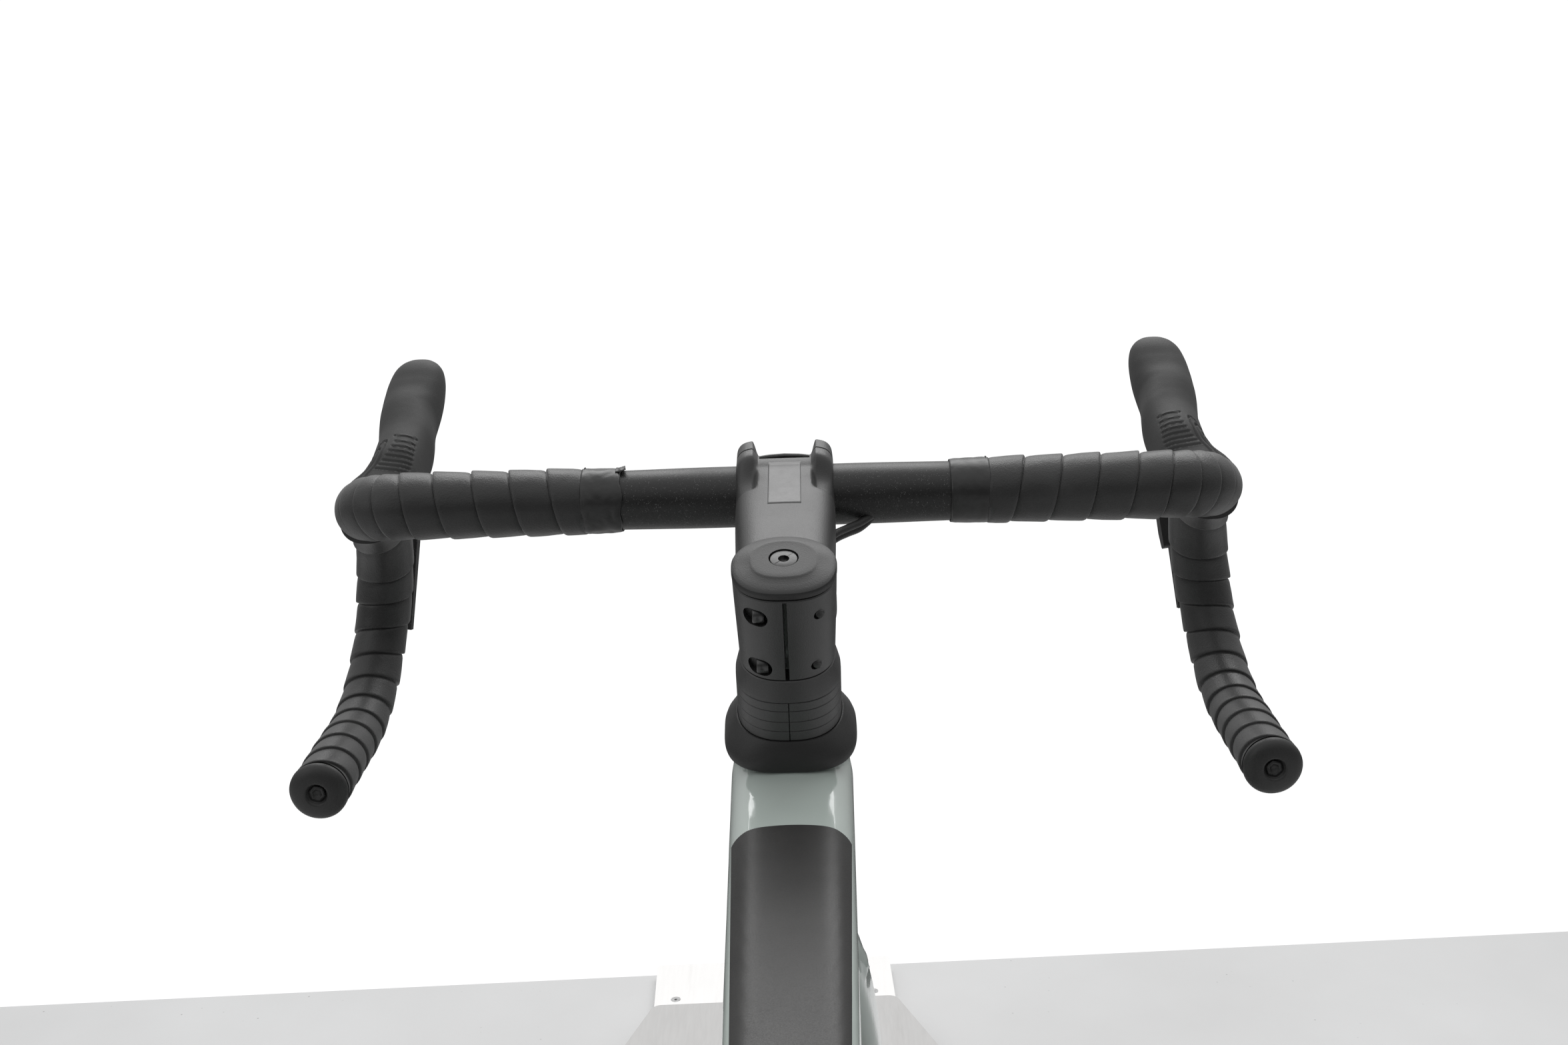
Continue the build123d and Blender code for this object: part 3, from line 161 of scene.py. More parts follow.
def plain_material(name, dark, light, rough, patch=25.0, grain=900.0, depth=0.12, **more):
    """Soft colour patches, grain in the roughness and a fine grain in relief."""
    s = Shader(name)
    patches = s.noise(patch, 5.0)
    fine = s.noise(grain, 2.0)
    colour = s.ramp(patches, [(0.32, dark), (0.68, light)])
    mixed = s.math("ADD", s.math("MULTIPLY", patches, 0.6), s.math("MULTIPLY", fine, 0.4))
    level = s.spread(mixed, rough[0], rough[1])
    return s.finish(colour, level, s.bump(fine, depth, 0.0004), **more)


def grey(value, warm=0.0):
    return (value * (1 + warm), value, value * (1 - warm))


def speckled_black(name, base, spark, rough):
    """Satin black with fine light sparks in it, as on painted alloy."""
    s = Shader(name)
    patches = s.noise(18.0, 4.0)
    sparks = s.cells(1500.0)
    ground = s.ramp(patches, [(0.3, grey(base * 0.85)), (0.7, grey(base * 1.15))])
    dots = s.spread(sparks, 1.0, 0.0, 0.12, 0.3)
    mask = s.math("MULTIPLY", dots, s.spread(s.noise(700.0, 1.0), 0.0, 1.0, 0.5, 0.62))
    colour = s.mix(mask, ground, grey(spark))
    level = s.spread(patches, rough[0], rough[1])
    return s.finish(colour, level, s.bump(s.noise(1800.0, 2.0), 0.25, 0.0003))


def gloss_paint(name, base, panel):
    """Clear-coated paint with fine flake; the top tube carries a satin dark panel."""
    s = Shader(name)
    clouds = s.noise(6.0, 3.0)
    flake = s.cells(2600.0)
    pale = tuple(min(1.0, c * 1.12) for c in base)
    deep = tuple(c * 0.9 for c in base)
    ground = s.ramp(clouds, [(0.3, deep), (0.7, pale)])
    flakes = s.spread(flake, 1.0, 0.0, 0.05, 0.25)
    ground = s.mix(s.math("MULTIPLY", flakes, 0.35), ground, tuple(min(1.0, c * 1.5) for c in base))
    fine = s.noise(1500.0, 2.0)
    if panel:
        split = s.node("ShaderNodeSeparateXYZ")
        s.join(s.raw, split.inputs["Vector"])
        x, y, z = split.outputs
        across = s.math("ABSOLUTE", x)
        # the panel is on the flat of the top tube, between two arched ends
        crest = s.math("ADD", s.math("MULTIPLY", s.math("ADD", y, 0.146), 0.0957), 0.8174)
        on_top = s.math("GREATER_THAN", s.math("SUBTRACT", z, crest), -0.02)
        half = s.math("ADD", s.math("MULTIPLY", s.math("ADD", y, 0.146), 0.0294), 0.0138)
        inside = s.math("LESS_THAN", across, half)
        arch = s.math("MULTIPLY", s.math("MULTIPLY", x, x), 6.7)
        ahead = s.math("LESS_THAN", s.math("ADD", y, arch), 0.3155)
        behind = s.math("GREATER_THAN", s.math("SUBTRACT", y, arch), -0.075)
        mask = s.math("MULTIPLY", s.math("MULTIPLY", on_top, inside), s.math("MULTIPLY", ahead, behind))
        panel_ground = s.ramp(s.noise(40.0, 5.0), [(0.3, grey(0.018, 0.03)), (0.7, grey(0.026, 0.03))])
        colour = s.mix(mask, ground, panel_ground)
        level = s.math("ADD", s.math("MULTIPLY", mask, 0.3), s.spread(fine, 0.1, 0.2))
        # the panel has no clear coat
        s.join(s.math("MULTIPLY", s.math("SUBTRACT", 1.0, mask), 0.6), s.bsdf.inputs["Coat Weight"])
    else:
        colour, level = ground, s.spread(fine, 0.1, 0.2)
    return s.finish(colour, level, s.bump(fine, 0.03, 0.0002), coat=0.6, coat_rough=0.04)


def tape_material():
    """Grip tape: tiny pebbles, slightly worn, with a greyer haze in places."""
    s = Shader("grip_tape")
    haze = s.noise(14.0, 5.0)
    pebbles = s.cells(1300.0)
    colour = s.ramp(haze, [(0.35, grey(0.018)), (0.6, grey(0.03)), (0.8, grey(0.055, 0.01))])
    level = s.spread(haze, 0.36, 0.52)
    normal = s.bump(pebbles, 0.22, 0.0004, s.bump(s.noise(120.0, 3.0), 0.2, 0.0012))
    return s.finish(colour, level, normal, sheen=0.15)


def floor_material():
    """Pale painted floor with soft clouds and scattered grey specks."""
    s = Shader("pale_floor")
    clouds = s.noise(1.6, 5.0)
    ground = s.ramp(clouds, [(0.3, grey(0.6, 0.0)), (0.7, grey(0.69, -0.004))])
    specks = s.spread(s.cells(60.0), 1.0, 0.0, 0.04, 0.09)
    mask = s.math("MULTIPLY", specks, s.spread(s.noise(9.0, 2.0), 0.0, 0.8, 0.52, 0.66))
    colour = s.mix(mask, ground, grey(0.36))
    return s.finish(colour, s.spread(clouds, 0.55, 0.75), s.bump(s.noise(220.0, 3.0), 0.12, 0.001))


def board_material(name, low, high, mark):
    """Painted sheet wood: faint grain along its length, scuffs and dust."""
    s = Shader(name, (9.0, 0.7, 9.0))
    grain = s.noise(26.0, 6.0, 0.6)
    ground = s.ramp(grain, [(0.35, grey(low, 0.01)), (0.65, grey(high, 0.01))])
    scuffs = s.spread(s.noise(3.5, 8.0, 0.7), 0.0, 0.6, 0.6, 0.74)
    colour = s.mix(scuffs, ground, grey(mark, 0.02))
    return s.finish(colour, s.spread(grain, 0.42, 0.62), s.bump(grain, 0.12, 0.0008))


def brushed_metal(name, low, high, rough):
    """Bare metal with fine brushed lines."""
    s = Shader(name)
    lines = s.noise(260.0, 5.0, 0.65)
    colour = s.ramp(lines, [(0.3, grey(low)), (0.7, grey(high))])
    level = s.spread(lines, rough[0], rough[1])
    return s.finish(colour, level, s.bump(lines, 0.08, 0.0003), metallic=1.0)


MATERIALS = {
    "white_board": board_material("white_board", 0.92, 0.94, 0.8),
    "grey_deck": board_material("grey_deck", 0.52, 0.56, 0.42),
    "steel": brushed_metal("steel", 0.5, 0.66, (0.22, 0.4)),
    "chain_steel": brushed_metal("chain_steel", 0.28, 0.45, (0.25, 0.45)),
    "frame_paint": gloss_paint("frame_paint", (0.5, 0.565, 0.53), True),
    "fork_paint": gloss_paint("fork_paint", (0.46, 0.52, 0.49), False),
    "black_alloy": speckled_black("black_alloy", 0.014, 0.22, (0.34, 0.48)),
    "tape": tape_material(),
}
# dark and light grey, least and most roughness, and what differs from the usual grain
PLAIN = {
    "black_steel": (0.02, 0.035, (0.25, 0.4), dict(metallic=0.6)),
    "stand_metal": (0.035, 0.05, (0.45, 0.6), dict(grain=1400.0, depth=0.3)),
    "black_rubber": (0.02, 0.035, (0.7, 0.85), dict(depth=0.3)),
    "black_carbon": (0.02, 0.032, (0.28, 0.4), dict(patch=60.0, coat=0.2)),
    "black_plastic": (0.018, 0.028, (0.4, 0.52), dict(grain=1600.0, depth=0.2)),
    "saddle_skin": (0.02, 0.034, (0.45, 0.6), dict(grain=1100.0, depth=0.35)),
    "finishing": (0.018, 0.03, (0.3, 0.42), dict(patch=70.0, grain=240.0, depth=0.4)),
    "hood_rubber": (0.034, 0.046, (0.58, 0.72), dict(grain=1500.0, depth=0.25)),
    "tyre": (0.022, 0.036, (0.65, 0.8), dict(grain=700.0, depth=0.3)),
    "stem_black": (0.022, 0.032, (0.42, 0.52), dict(grain=1700.0, depth=0.3, specular=0.85)),
    "cap_black": (0.018, 0.026, (0.4, 0.5), dict(grain=1500.0, depth=0.22)),
    "label_grey": (0.075, 0.09, (0.4, 0.5), dict(patch=200.0, specular=0.85)),
    "bolt_dark": (0.06, 0.1, (0.3, 0.4), dict(metallic=0.8)),
}
for plain_name, (dark, light, rough, more) in PLAIN.items():
    MATERIALS[plain_name] = plain_material(plain_name, grey(dark), grey(light), rough, **more)

# nodes whose finish differs from their slot's
OWN = {
    "stem": "stem_black",
    "stem_faceplate": "stem_black",
    "top_cap": "cap_black",
    "headset_cover": "cap_black",
    "spacers": "stem_black",
    "stem_bolts": "bolt_dark",
}


def slot_of(node):
    """The slot a CAD node came in with, read from its first material's name."""
    name = nodes[node].material_slots[0].material.name
    return name.split(".")[0]


for node_name, node_object in nodes.items():
    wanted = MATERIALS.get(OWN.get(node_name, slot_of(node_name)))
    for place in node_object.material_slots:
        place.material = wanted


# ---- making pieces ----
def piece(name, bm, body, slot, replaces=(), finish=None, smooth=True):
    """A bmesh in millimetres becomes a named piece that rides on its body."""
    bmesh.ops.remove_doubles(bm, verts=bm.verts, dist=1e-4)
    bmesh.ops.dissolve_degenerate(bm, edges=bm.edges, dist=1e-4)
    bmesh.ops.recalc_face_normals(bm, faces=bm.faces)
    bmesh.ops.scale(bm, vec=(MM, MM, MM), verts=bm.verts)
    mesh = bpy.data.meshes.new(name)
    bm.to_mesh(mesh)
    bm.free()
    for polygon in mesh.polygons:
        polygon.use_smooth = smooth
    made = bpy.data.objects.new(name, mesh)
    bpy.context.scene.collection.objects.link(made)
    mesh.materials.append(MATERIALS[finish or slot])
    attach(made, body)
    if replaces:
        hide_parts(*replaces)
    return made


def grid(bm, rows, wrap=True, cap_start=False, cap_end=False):
    """Faces between rows of points; each row closes on itself if wrap is set."""
    made = [[bm.verts.new(p) for p in row] for row in rows]
    count = len(rows[0])
    for upper, lower in zip(made, made[1:]):
        for i in range(count if wrap else count - 1):
            j = (i + 1) % count
            bm.faces.new((upper[i], upper[j], lower[j], lower[i]))
    if cap_start:
        bm.faces.new(made[0])
    if cap_end:
        bm.faces.new(list(reversed(made[-1])))
    return made


def thin_sheet(bm, rows, drop):
    """A closed sheet: an open grid of points and the same grid lowered by drop."""
    under = [[p - drop for p in row] for row in rows]
    for layer in (rows, under):
        grid(bm, layer, wrap=False)
    for end in (0, -1):
        grid(bm, [rows[end], under[end]], wrap=False)
    for column in (0, -1):
        grid(bm, [[row[column] for row in rows], [row[column] for row in under]], wrap=False)


def solid_between(bm, ends):
    """A closed solid with two like outlines as its ends."""
    return grid(bm, ends, cap_start=True, cap_end=True)


def apply_modifiers(made):
    """The evaluated mesh becomes the object's own."""
    bpy.context.view_layer.update()
    graph = bpy.context.evaluated_depsgraph_get()
    result = bpy.data.meshes.new_from_object(made.evaluated_get(graph))
    made.modifiers.clear()
    old = made.data
    made.data = result
    bpy.data.meshes.remove(old)


def combine(made, tool_bm, operation="DIFFERENCE"):
    """Cuts a closed tool, in millimetres, out of a piece or joins it on."""
    bmesh.ops.remove_doubles(tool_bm, verts=tool_bm.verts, dist=1e-4)
    bmesh.ops.recalc_face_normals(tool_bm, faces=tool_bm.faces)
    bmesh.ops.scale(tool_bm, vec=(MM, MM, MM), verts=tool_bm.verts)
    mesh = bpy.data.meshes.new("tool")
    tool_bm.to_mesh(mesh)
    tool_bm.free()
    tool = bpy.data.objects.new("tool", mesh)
    bpy.context.scene.collection.objects.link(tool)
    change = made.modifiers.new("combine", "BOOLEAN")
    change.operation = operation
    change.object = tool
    change.solver = "EXACT"
    apply_modifiers(made)
    bpy.data.objects.remove(tool)
    bpy.data.meshes.remove(mesh)
    return made


def table(rows, at):
    """Smooth interpolation in a table whose first column rises."""
    if at <= rows[0][0]:
        return rows[0][1:]
    for a, b in zip(rows, rows[1:]):
        if at <= b[0]:
            t = smooth_step(a[0], b[0], at)
            return tuple(p + (q - p) * t for p, q in zip(a[1:], b[1:]))
    return rows[-1][1:]


def smooth_step(a, b, value):
    """0 below a, 1 above b and smooth between."""
    t = min(1.0, max(0.0, (value - a) / (b - a)))
    return t * t * (3 - 2 * t)


def drop_up(s):
    return Vector((-s * sin(FLARE), 0, cos(FLARE)))


def on_drop(s, forward, up):
    return BAR_CENTRE + X * (s * BAR_WIDTH / 2) + FORWARD * forward + drop_up(s) * up


class Route:
    """The centre line of half the handlebar, with a frame every millimetre."""

    def __init__(self, s, start):
        corner = on_drop(s, 0, 0)
        middle = DROP_BEND_R - DROP_DEPTH
        forward = (-middle * cos(RAMP) - DROP_BEND_R) / sin(RAMP)
        top_angle = pi / 2 - RAMP
        steps = 60
        bend = []
        for i in range(steps + 1):
            a = top_angle + (-pi / 2 - top_angle) * i / steps
            bend.append(on_drop(s, forward + DROP_BEND_R * cos(a), middle + DROP_BEND_R * sin(a)))
        d0 = X * s
        d1 = (bend[0] - corner).normalized()
        turn = d0.angle(d1)
        radius = BEND_R * 0.9
        reach = radius * tan(turn / 2)
        side = (d1 - d0 * d1.dot(d0)).normalized()
        arc_start = corner - d0 * reach
        centre = arc_start + side * radius
        elbow = []
        for i in range(25):
            a = turn * i / 24
            elbow.append(centre + (d0 * sin(a) - side * cos(a)) * radius)
        line = [BAR_CENTRE + X * (s * start)] + elbow + bend + [on_drop(s, -DROP_TAIL, -DROP_DEPTH)]
        self.points = []
        carry = 0.0
        for a, b in zip(line, line[1:]):
            run = (b - a).length
            while carry < run:
                self.points.append(a + (b - a) * (carry / run))
                carry += 1.0
            carry -= run
        self.length = len(self.points) - 1.0
        self.elbow = (arc_start - line[0]).length
        self.tangents = []
        for i in range(len(self.points)):
            a, b = self.points[max(i - 2, 0)], self.points[min(i + 2, len(self.points) - 1)]
            self.tangents.append((b - a).normalized())
        self.sides = []
        side = UP.copy()
        for tangent in self.tangents:
            side = (side - tangent * side.dot(tangent)).normalized()
            self.sides.append(side)

    def at(self, run):
        run = min(max(run, 0.0), self.length - 1e-6)
        i = int(run)
        t = run - i
        point = self.points[i].lerp(self.points[i + 1], t)
        tangent = self.tangents[i].lerp(self.tangents[i + 1], t).normalized()
        side = self.sides[i].lerp(self.sides[i + 1], t)
        side = (side - tangent * side.dot(tangent)).normalized()
        return point, tangent, side, tangent.cross(side)


# where each wrap of tape begins, in mm along the bar from the finishing band
WRAP_PITCHES = [19.6, 19.9, 19.4, 20.2, 17.0, 9.0, 7.5, 8.5, 14.0, 20.0, 46.0] + [18.0] * 16
WRAP_SHAPE = [
    (0.0, -0.5), (0.022, -0.38), (0.055, -0.02), (0.14, 0.3), (0.3, 0.52), (0.5, 0.72),
    (0.7, 0.88), (0.88, 1.0), (0.955, 1.0), (0.985, 0.82), (0.9985, 0.3),
]


def wrap_start(starts, w):
    """Arc length at a whole or part wrap number."""
    if w <= 0:
        return starts[0] + w * WRAP_PITCHES[0]
    i = min(int(w), len(starts) - 2)
    return starts[i] + (w - i) * (starts[i + 1] - starts[i])


def tape_radius(run, elbow):
    """The tape's outer radius along the bar: full on the top, slim on the drop."""
    rows = [
        (0.0, 16.5), (elbow - 30, 16.6), (elbow - 4, 16.8), (elbow + 16, 16.4), (elbow + 40, 15.2),
        (elbow + 60, 14.5), (elbow + 95, 15.4), (elbow + 130, 15.0),
        (elbow + 160, 13.9), (400.0, 13.9), (600.0, 13.9),
    ]
    return table(rows, run)[0]


def bar_tape(s, name, seed):
    route = Route(s, TAPE_START)
    starts = [0.0]
    for pitch in WRAP_PITCHES:
        starts.append(starts[-1] + pitch)
    around = 72
    wraps = len(starts) - 1
    while starts[wraps - 1] > route.length + 4:
        wraps -= 1

    def ring(w, lift, inner):
        row = []
        for j in range(around + 1):
            turn = j / around
            run = wrap_start(starts, w - turn)
            run = min(max(run, 0.0), route.length)
            point, _, side, cross = route.at(run)
            a = TURN * turn * s
            out = side * cos(a) + cross * sin(a)
            if inner:
                r = 12.1 if run > route.elbow else 15.95
            else:
                r = tape_radius(run, route.elbow) + lift * 1.15
                spot = (point + out * r) * 0.045 + Vector((seed, 0, 0))
                r += 0.28 * noise.noise(spot) + 0.12 * noise.noise(spot * 3.7)
            row.append(point + out * r)
        return row

    bm = bmesh.new()
    rows = []
    for k in range(wraps + 1):
        for share, lift in WRAP_SHAPE:
            rows.append(ring(k + share, lift, False))
    for k in range(wraps + 1, -1, -1):
        rows.append(ring(k, 0, True))
    rows.append(rows[0])
    grid(bm, rows, wrap=False)
    piece(name, bm, "steering", "tape", (name.replace("grip", "bar_tape"),))

SIDES = ((-1, "left"), (1, "right"))
for s, side in SIDES:
    bar_tape(s, f"grip_{side}", 7.0 * s)


# ---- finishing bands, the left one a little torn and lifted ----
def finishing_band(bm, s):
    """A wrinkled band of thin tape; the left one is torn along its inner edge."""
    around, across = 96, 22
    start = TAPE_START - BAND_WIDTH
    outer, inner = [], []
    for i in range(across + 1):
        share = i / across
        row_out, row_in = [], []
        for j in range(around):
            a = TURN * j / around
            torn = 0.0
            if s < 0:
                torn = 2.2 * max(0.0, noise.noise(Vector((cos(a) * 1.7, sin(a) * 1.7, 3.1))))
            wave = 0.35 * noise.noise(Vector((cos(a) * 2, sin(a) * 2, s * 5.0)))
            x = start - torn * (1 - share) + wave + (BAND_WIDTH + 1.2 - wave) * share
            spot = Vector((x * 0.16, cos(a) * 2.2, sin(a) * 2.2 + s * 4))
            crease = 0.3 if s > 0 else 0.6
            r = 16.6 + crease * abs(noise.noise(spot)) + 0.5 * share
            r -= 0.35 * (max(0.0, 1 - share * 8) + max(0.0, share * 8 - 7))
            point = BAR_CENTRE + X * (s * x)
            out = FORWARD * sin(a) + UP * cos(a)
            row_out.append(point + out * r)
            row_in.append(point + out * 15.95)
        outer.append(row_out)
        inner.append(row_in)
    grid(bm, outer + inner[::-1] + [outer[0]])


bands = bmesh.new()
for s in (-1, 1):
    finishing_band(bands, s)
# the lifted tongue at the top of the left band
tongue = []
for i in range(15):
    u = i / 14
    row = []
    for j in range(9):
        v = j / 8
        x = -(TAPE_START - BAND_WIDTH + 2.5) + 5.6 * u - 2.4 * v * u
        a = radians(-16 + 52 * v) + 0.02 * sin(9 * u)
        lift = 17.15 + 1.3 * u * u * (1 - 0.4 * v) + 0.3 * noise.noise(Vector((u * 3, v * 3, 9)))
        row.append(BAR_CENTRE + X * x + (FORWARD * sin(a) + UP * cos(a)) * lift)
    tongue.append(row)
thin_sheet(bands, tongue, UP * 0.25)
piece("finishing_bands", bands, "steering", "finishing", ("finishing_tape",))


# ---- plugs: domed, with a hexagon recess ----
def lathe(bm, centre, axis, profile, around=64):
    """Turns (run, radius) pairs about an axis."""
    axis = axis.normalized()
    side = axis.orthogonal().normalized()
    cross = axis.cross(side)
    rows = []
    for run, r in profile:
        row = []
        for j in range(around):
            a = TURN * j / around
            row.append(centre + axis * run + (side * cos(a) + cross * sin(a)) * max(r, 1e-3))
        rows.append(row)
    return grid(bm, rows)


plugs = bmesh.new()
for s in (-1, 1):
    end = on_drop(s, -DROP_TAIL, -DROP_DEPTH)
    lathe(plugs, end, -FORWARD, [
        (-16, 0), (-16, 9.2), (-0.6, 9.6), (-0.5, 14.2),
        (0.0, 14.9), (0.9, 15.2), (2.2, 15.1), (3.6, 14.4),
        (4.8, 13.0), (5.7, 11.0), (6.3, 8.6), (6.6, 6.6), (6.6, 6.0),
        (6.2, 5.6), (5.6, 5.2), (4.2, 4.6), (4.2, 0),
    ])
    lathe(plugs, end, -FORWARD, [(4.1, 0), (4.1, 4.4), (5.2, 4.5), (5.2, 2.6), (4.3, 2.5), (4.3, 0)], 6)
piece("end_plugs", plugs, "steering", "black_plastic", ("bar_plugs",))

# ---- brake hoods ----
HOOD_STATIONS = [
    (30.0, -12.0, 32.0, 32.0, -8.0),
    (44.0, -15.0, 33.5, 33.0, 0.0),
    (52.0, -13.5, 34.0, 34.0, 4.0),
    (63.0, -9.0, 32.0, 38.0, 7.0),
    (74.0, -4.0, 31.0, 43.0, 10.0),
    (98.0, 4.6, 32.5, 46.0, 16.0),
    (120.0, 16.0, 33.0, 47.0, 30.0),
    (134.0, 26.0, 34.5, 43.0, 46.0),
    (142.0, 36.0, 33.0, 37.0, 60.0),
    (146.5, 43.5, 28.5, 30.0, 66.0),
    (148.8, 47.8, 21.5, 22.0, 68.0),
    (149.9, 50.2, 13.0, 13.0, 70.0),
    (150.2, 51.0, 6.0, 5.0, 70.0),
]


def spline(rows, t):
    """Catmull-Rom through rows of numbers; t runs over the row numbers."""
    i = min(int(t), len(rows) - 2)
    f = t - i
    picked = [rows[max(i - 1, 0)], rows[i], rows[i + 1], rows[min(i + 2, len(rows) - 1)]]
    out = []
    for p0, p1, p2, p3 in zip(*picked):
        out.append(
            0.5 * (2 * p1 + (p2 - p0) * f + (2 * p0 - 5 * p1 + 4 * p2 - p3) * f * f
                   + (3 * p1 - p0 - 3 * p2 + p3) * f ** 3)
        )
    return out


def groove(distance, half, depth):
    """A rounded groove with a slightly raised lip."""
    d = abs(distance) / half
    if d >= 2:
        return 0.0
    return -depth * max(0.0, 1 - d * d) + 0.18 * depth * max(0.0, 1 - (d - 1.4) ** 2 / 0.36)


def hood_relief(forward, lateral):
    """Ribs across the neck and the nested hooks on its outer side."""
    depth = 0.0
    if -14 < lateral < 9.5:
        for i, at in enumerate((58.0, 60.8, 63.6, 66.6, 69.8, 73.4, 77.6, 82.6)):
            low, high = -13.5 + 0.2 * i, 8.0 - 0.9 * i + (2.5 if i > 6 else 0)
            curve = at + 0.018 * (lateral + 4) ** 2
            fade = min(1.0, max(0.0, (lateral - low) / 1.2)) * min(1.0, max(0.0, (high - lateral) / 1.2))
            depth += groove(forward - curve, 0.75, 0.75) * fade
    for out_at, top in ((7.2, 79.0), (10.2, 74.5), (13.0, 70.5)):
        # each hook runs outwards along the outer side and turns over at its front end
        run = lateral - out_at - 0.05 * max(0.0, top - forward)
        if forward < top:
            depth += groove(run, 0.8, 0.95) * min(1.0, max(0.0, (forward - 44) / 4))
        else:
            turn = hypot(lateral - out_at - 2.4, forward - top) - 2.4
            depth += groove(turn, 0.8, 0.95)
    return depth


def hood(s, name):
    rows = []
    lengthwise, around = 330, 300
    last = len(HOOD_STATIONS) - 1
    for i in range(lengthwise + 1):
        forward, up, wide, high, tilt = spline(HOOD_STATIONS, last * i / lengthwise)
        a = radians(tilt)
        centre = on_drop(s, forward, up)
        rise = drop_up(s) * cos(a) - FORWARD * sin(a)
        # its outer side spreads towards the elbow
        spread = 8.0 * smooth_step(45, 58, forward) * (1 - smooth_step(50, 76, forward))
        # the neck stands a little towards the stem
        inward = 4.0 * smooth_step(50, 66, forward) * (1 - smooth_step(96, 124, forward))
        row = []
        for j in range(around):
            b = TURN * j / around
            n = 2.0 / 2.35
            cx, cz = sin(b), cos(b)
            px = copysign(abs(cx) ** n, cx) * wide / 2
            pz = copysign(abs(cz) ** n, cz) * high / 2
            depth = 0.0
            flare = spread * max(0.0, px / (wide / 2)) ** 1.5
            if cz > -0.2 and 44 < forward < 95:
                depth = hood_relief(forward, px * 1.12)
            norm = Vector((cx, cz)).normalized()
            grain = 0.05 * noise.noise(Vector((forward * 0.2, px * 0.2, s)))
            px += norm.x * (depth + grain)
            pz += norm.y * (depth + grain)
            row.append(centre + X * (s * (px + flare - inward)) + rise * pz)
        rows.append(row)
    bm = bmesh.new()
    solid_between(bm, rows)
    made = piece(f"cover_{name}", bm, "steering", "hood_rubber", (f"hood_{name}",))
    # the slot that the lever comes out of
    cutter = bmesh.new()
    across = Vector((cos(FLARE), 0, s * sin(FLARE)))
    outline = [(121, -60), (121, -8), (124, 6), (131, 11), (139, 10), (147, 4), (170, 2), (170, -60)]
    ends = []
    for off in (-8.3, 8.3):
        ends.append([on_drop(s, f, u) + across * off for f, u in outline])
    solid_between(cutter, ends)
    return combine(made, cutter)


for s, side in SIDES:
    hood(s, side).data.set_sharp_from_angle(angle=radians(40))


# ---- painted frame and fork, blended into one skin each ----
def fused(name, sources, body, slot, voxel, passes):
    bm = bmesh.new()
    for source in sources:
        bm.from_mesh(nodes[source].data)
    bmesh.ops.remove_doubles(bm, verts=bm.verts, dist=1e-5)
    mesh = bpy.data.meshes.new(name)
    bm.to_mesh(mesh)
    bm.free()
    made = bpy.data.objects.new(name, mesh)
    bpy.context.scene.collection.objects.link(made)
    remesh = made.modifiers.new("remesh", "REMESH")
    remesh.mode = "VOXEL"
    remesh.voxel_size = voxel
    remesh.use_smooth_shade = True
    soften = made.modifiers.new("soften", "SMOOTH")
    soften.factor = 0.5
    soften.iterations = passes
    apply_modifiers(made)
    made.data.materials.clear()
    made.data.materials.append(MATERIALS[slot])
    for polygon in made.data.polygons:
        polygon.use_smooth = True
    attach(made, body)
    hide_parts(*sources)
    return made


fused("painted_frame", ["front_triangle", "rear_triangle"], "frame", "frame_paint", 0.0018, 7)
fused("painted_fork", ["fork"], "steering", "fork_paint", 0.0018, 6)


# ---- tyres with tread blocks ----
def block(bm, centre, radial, along, across, size, height):
    """A tread block whose top is smaller than its foot."""
    half_long, half_wide = size[0] / 2, size[1] / 2
    rings = []
    for grow, lift in ((1.12, -0.4), (1.0, height * 0.75), (0.86, height)):
        ring = []
        for u, v in ((-1, -1), (1, -1), (1, 1), (-1, 1)):
            spot = centre + along * (u * half_long * grow) + across * (v * half_wide * grow)
            ring.append(bm.verts.new(spot + radial * lift))
        rings.append(ring)
    for low, high in zip(rings, rings[1:]):
        for i in range(4):
            j = (i + 1) % 4
            bm.faces.new((low[i], low[j], high[j], high[i]))
    bm.faces.new(rings[-1])


# rows of blocks: angle across the tyre, how many, their size and their height
TREAD = [
    (0, 150, (6.5, 4.4), 1.35), (19, 150, (5.2, 3.4), 1.4), (-19, 150, (5.2, 3.4), 1.4),
    (37, 130, (4.6, 3.8), 1.5), (-37, 130, (4.6, 3.8), 1.5),
    (56, 110, (7.0, 4.6), 1.35), (-56, 110, (7.0, 4.6), 1.35),
]


def tyre(centre, name, body):
    bm = bmesh.new()
    casing = 15.0
    middle = WHEEL_R - TYRE_HALF
    rows = []
    around, section = 220, 40
    for j in range(section):
        a = TURN * j / section
        out = casing * cos(a)
        side = casing * sin(a)
        if out < -8:
            side *= 0.72
        row = []
        for i in range(around):
            b = TURN * i / around
            radial = Vector((0, sin(b), cos(b)))
            row.append(centre + X * side + radial * (middle + out))
        rows.append(row)
    rows.append(rows[0])
    grid(bm, rows)
    for band, (angle, count, size, height) in enumerate(TREAD):
        a = radians(angle)
        for i in range(count):
            b = TURN * (i + 0.5 * (band % 2)) / count
            radial_plane = Vector((0, sin(b), cos(b)))
            along = Vector((0, cos(b), -sin(b)))
            radial = radial_plane * cos(a) + X * sin(a)
            across = X * cos(a) - radial_plane * sin(a)
            spot = centre + radial_plane * middle + radial * casing
            block(bm, spot, radial, along, across, size, height)
    return piece(name, bm, body, "tyre", (name.replace("tread", "tyre"),), smooth=False)


tyre(FRONT_AXLE, "front_tread", "front_wheel")
tyre(REAR_AXLE, "rear_tread", "rear_wheel")

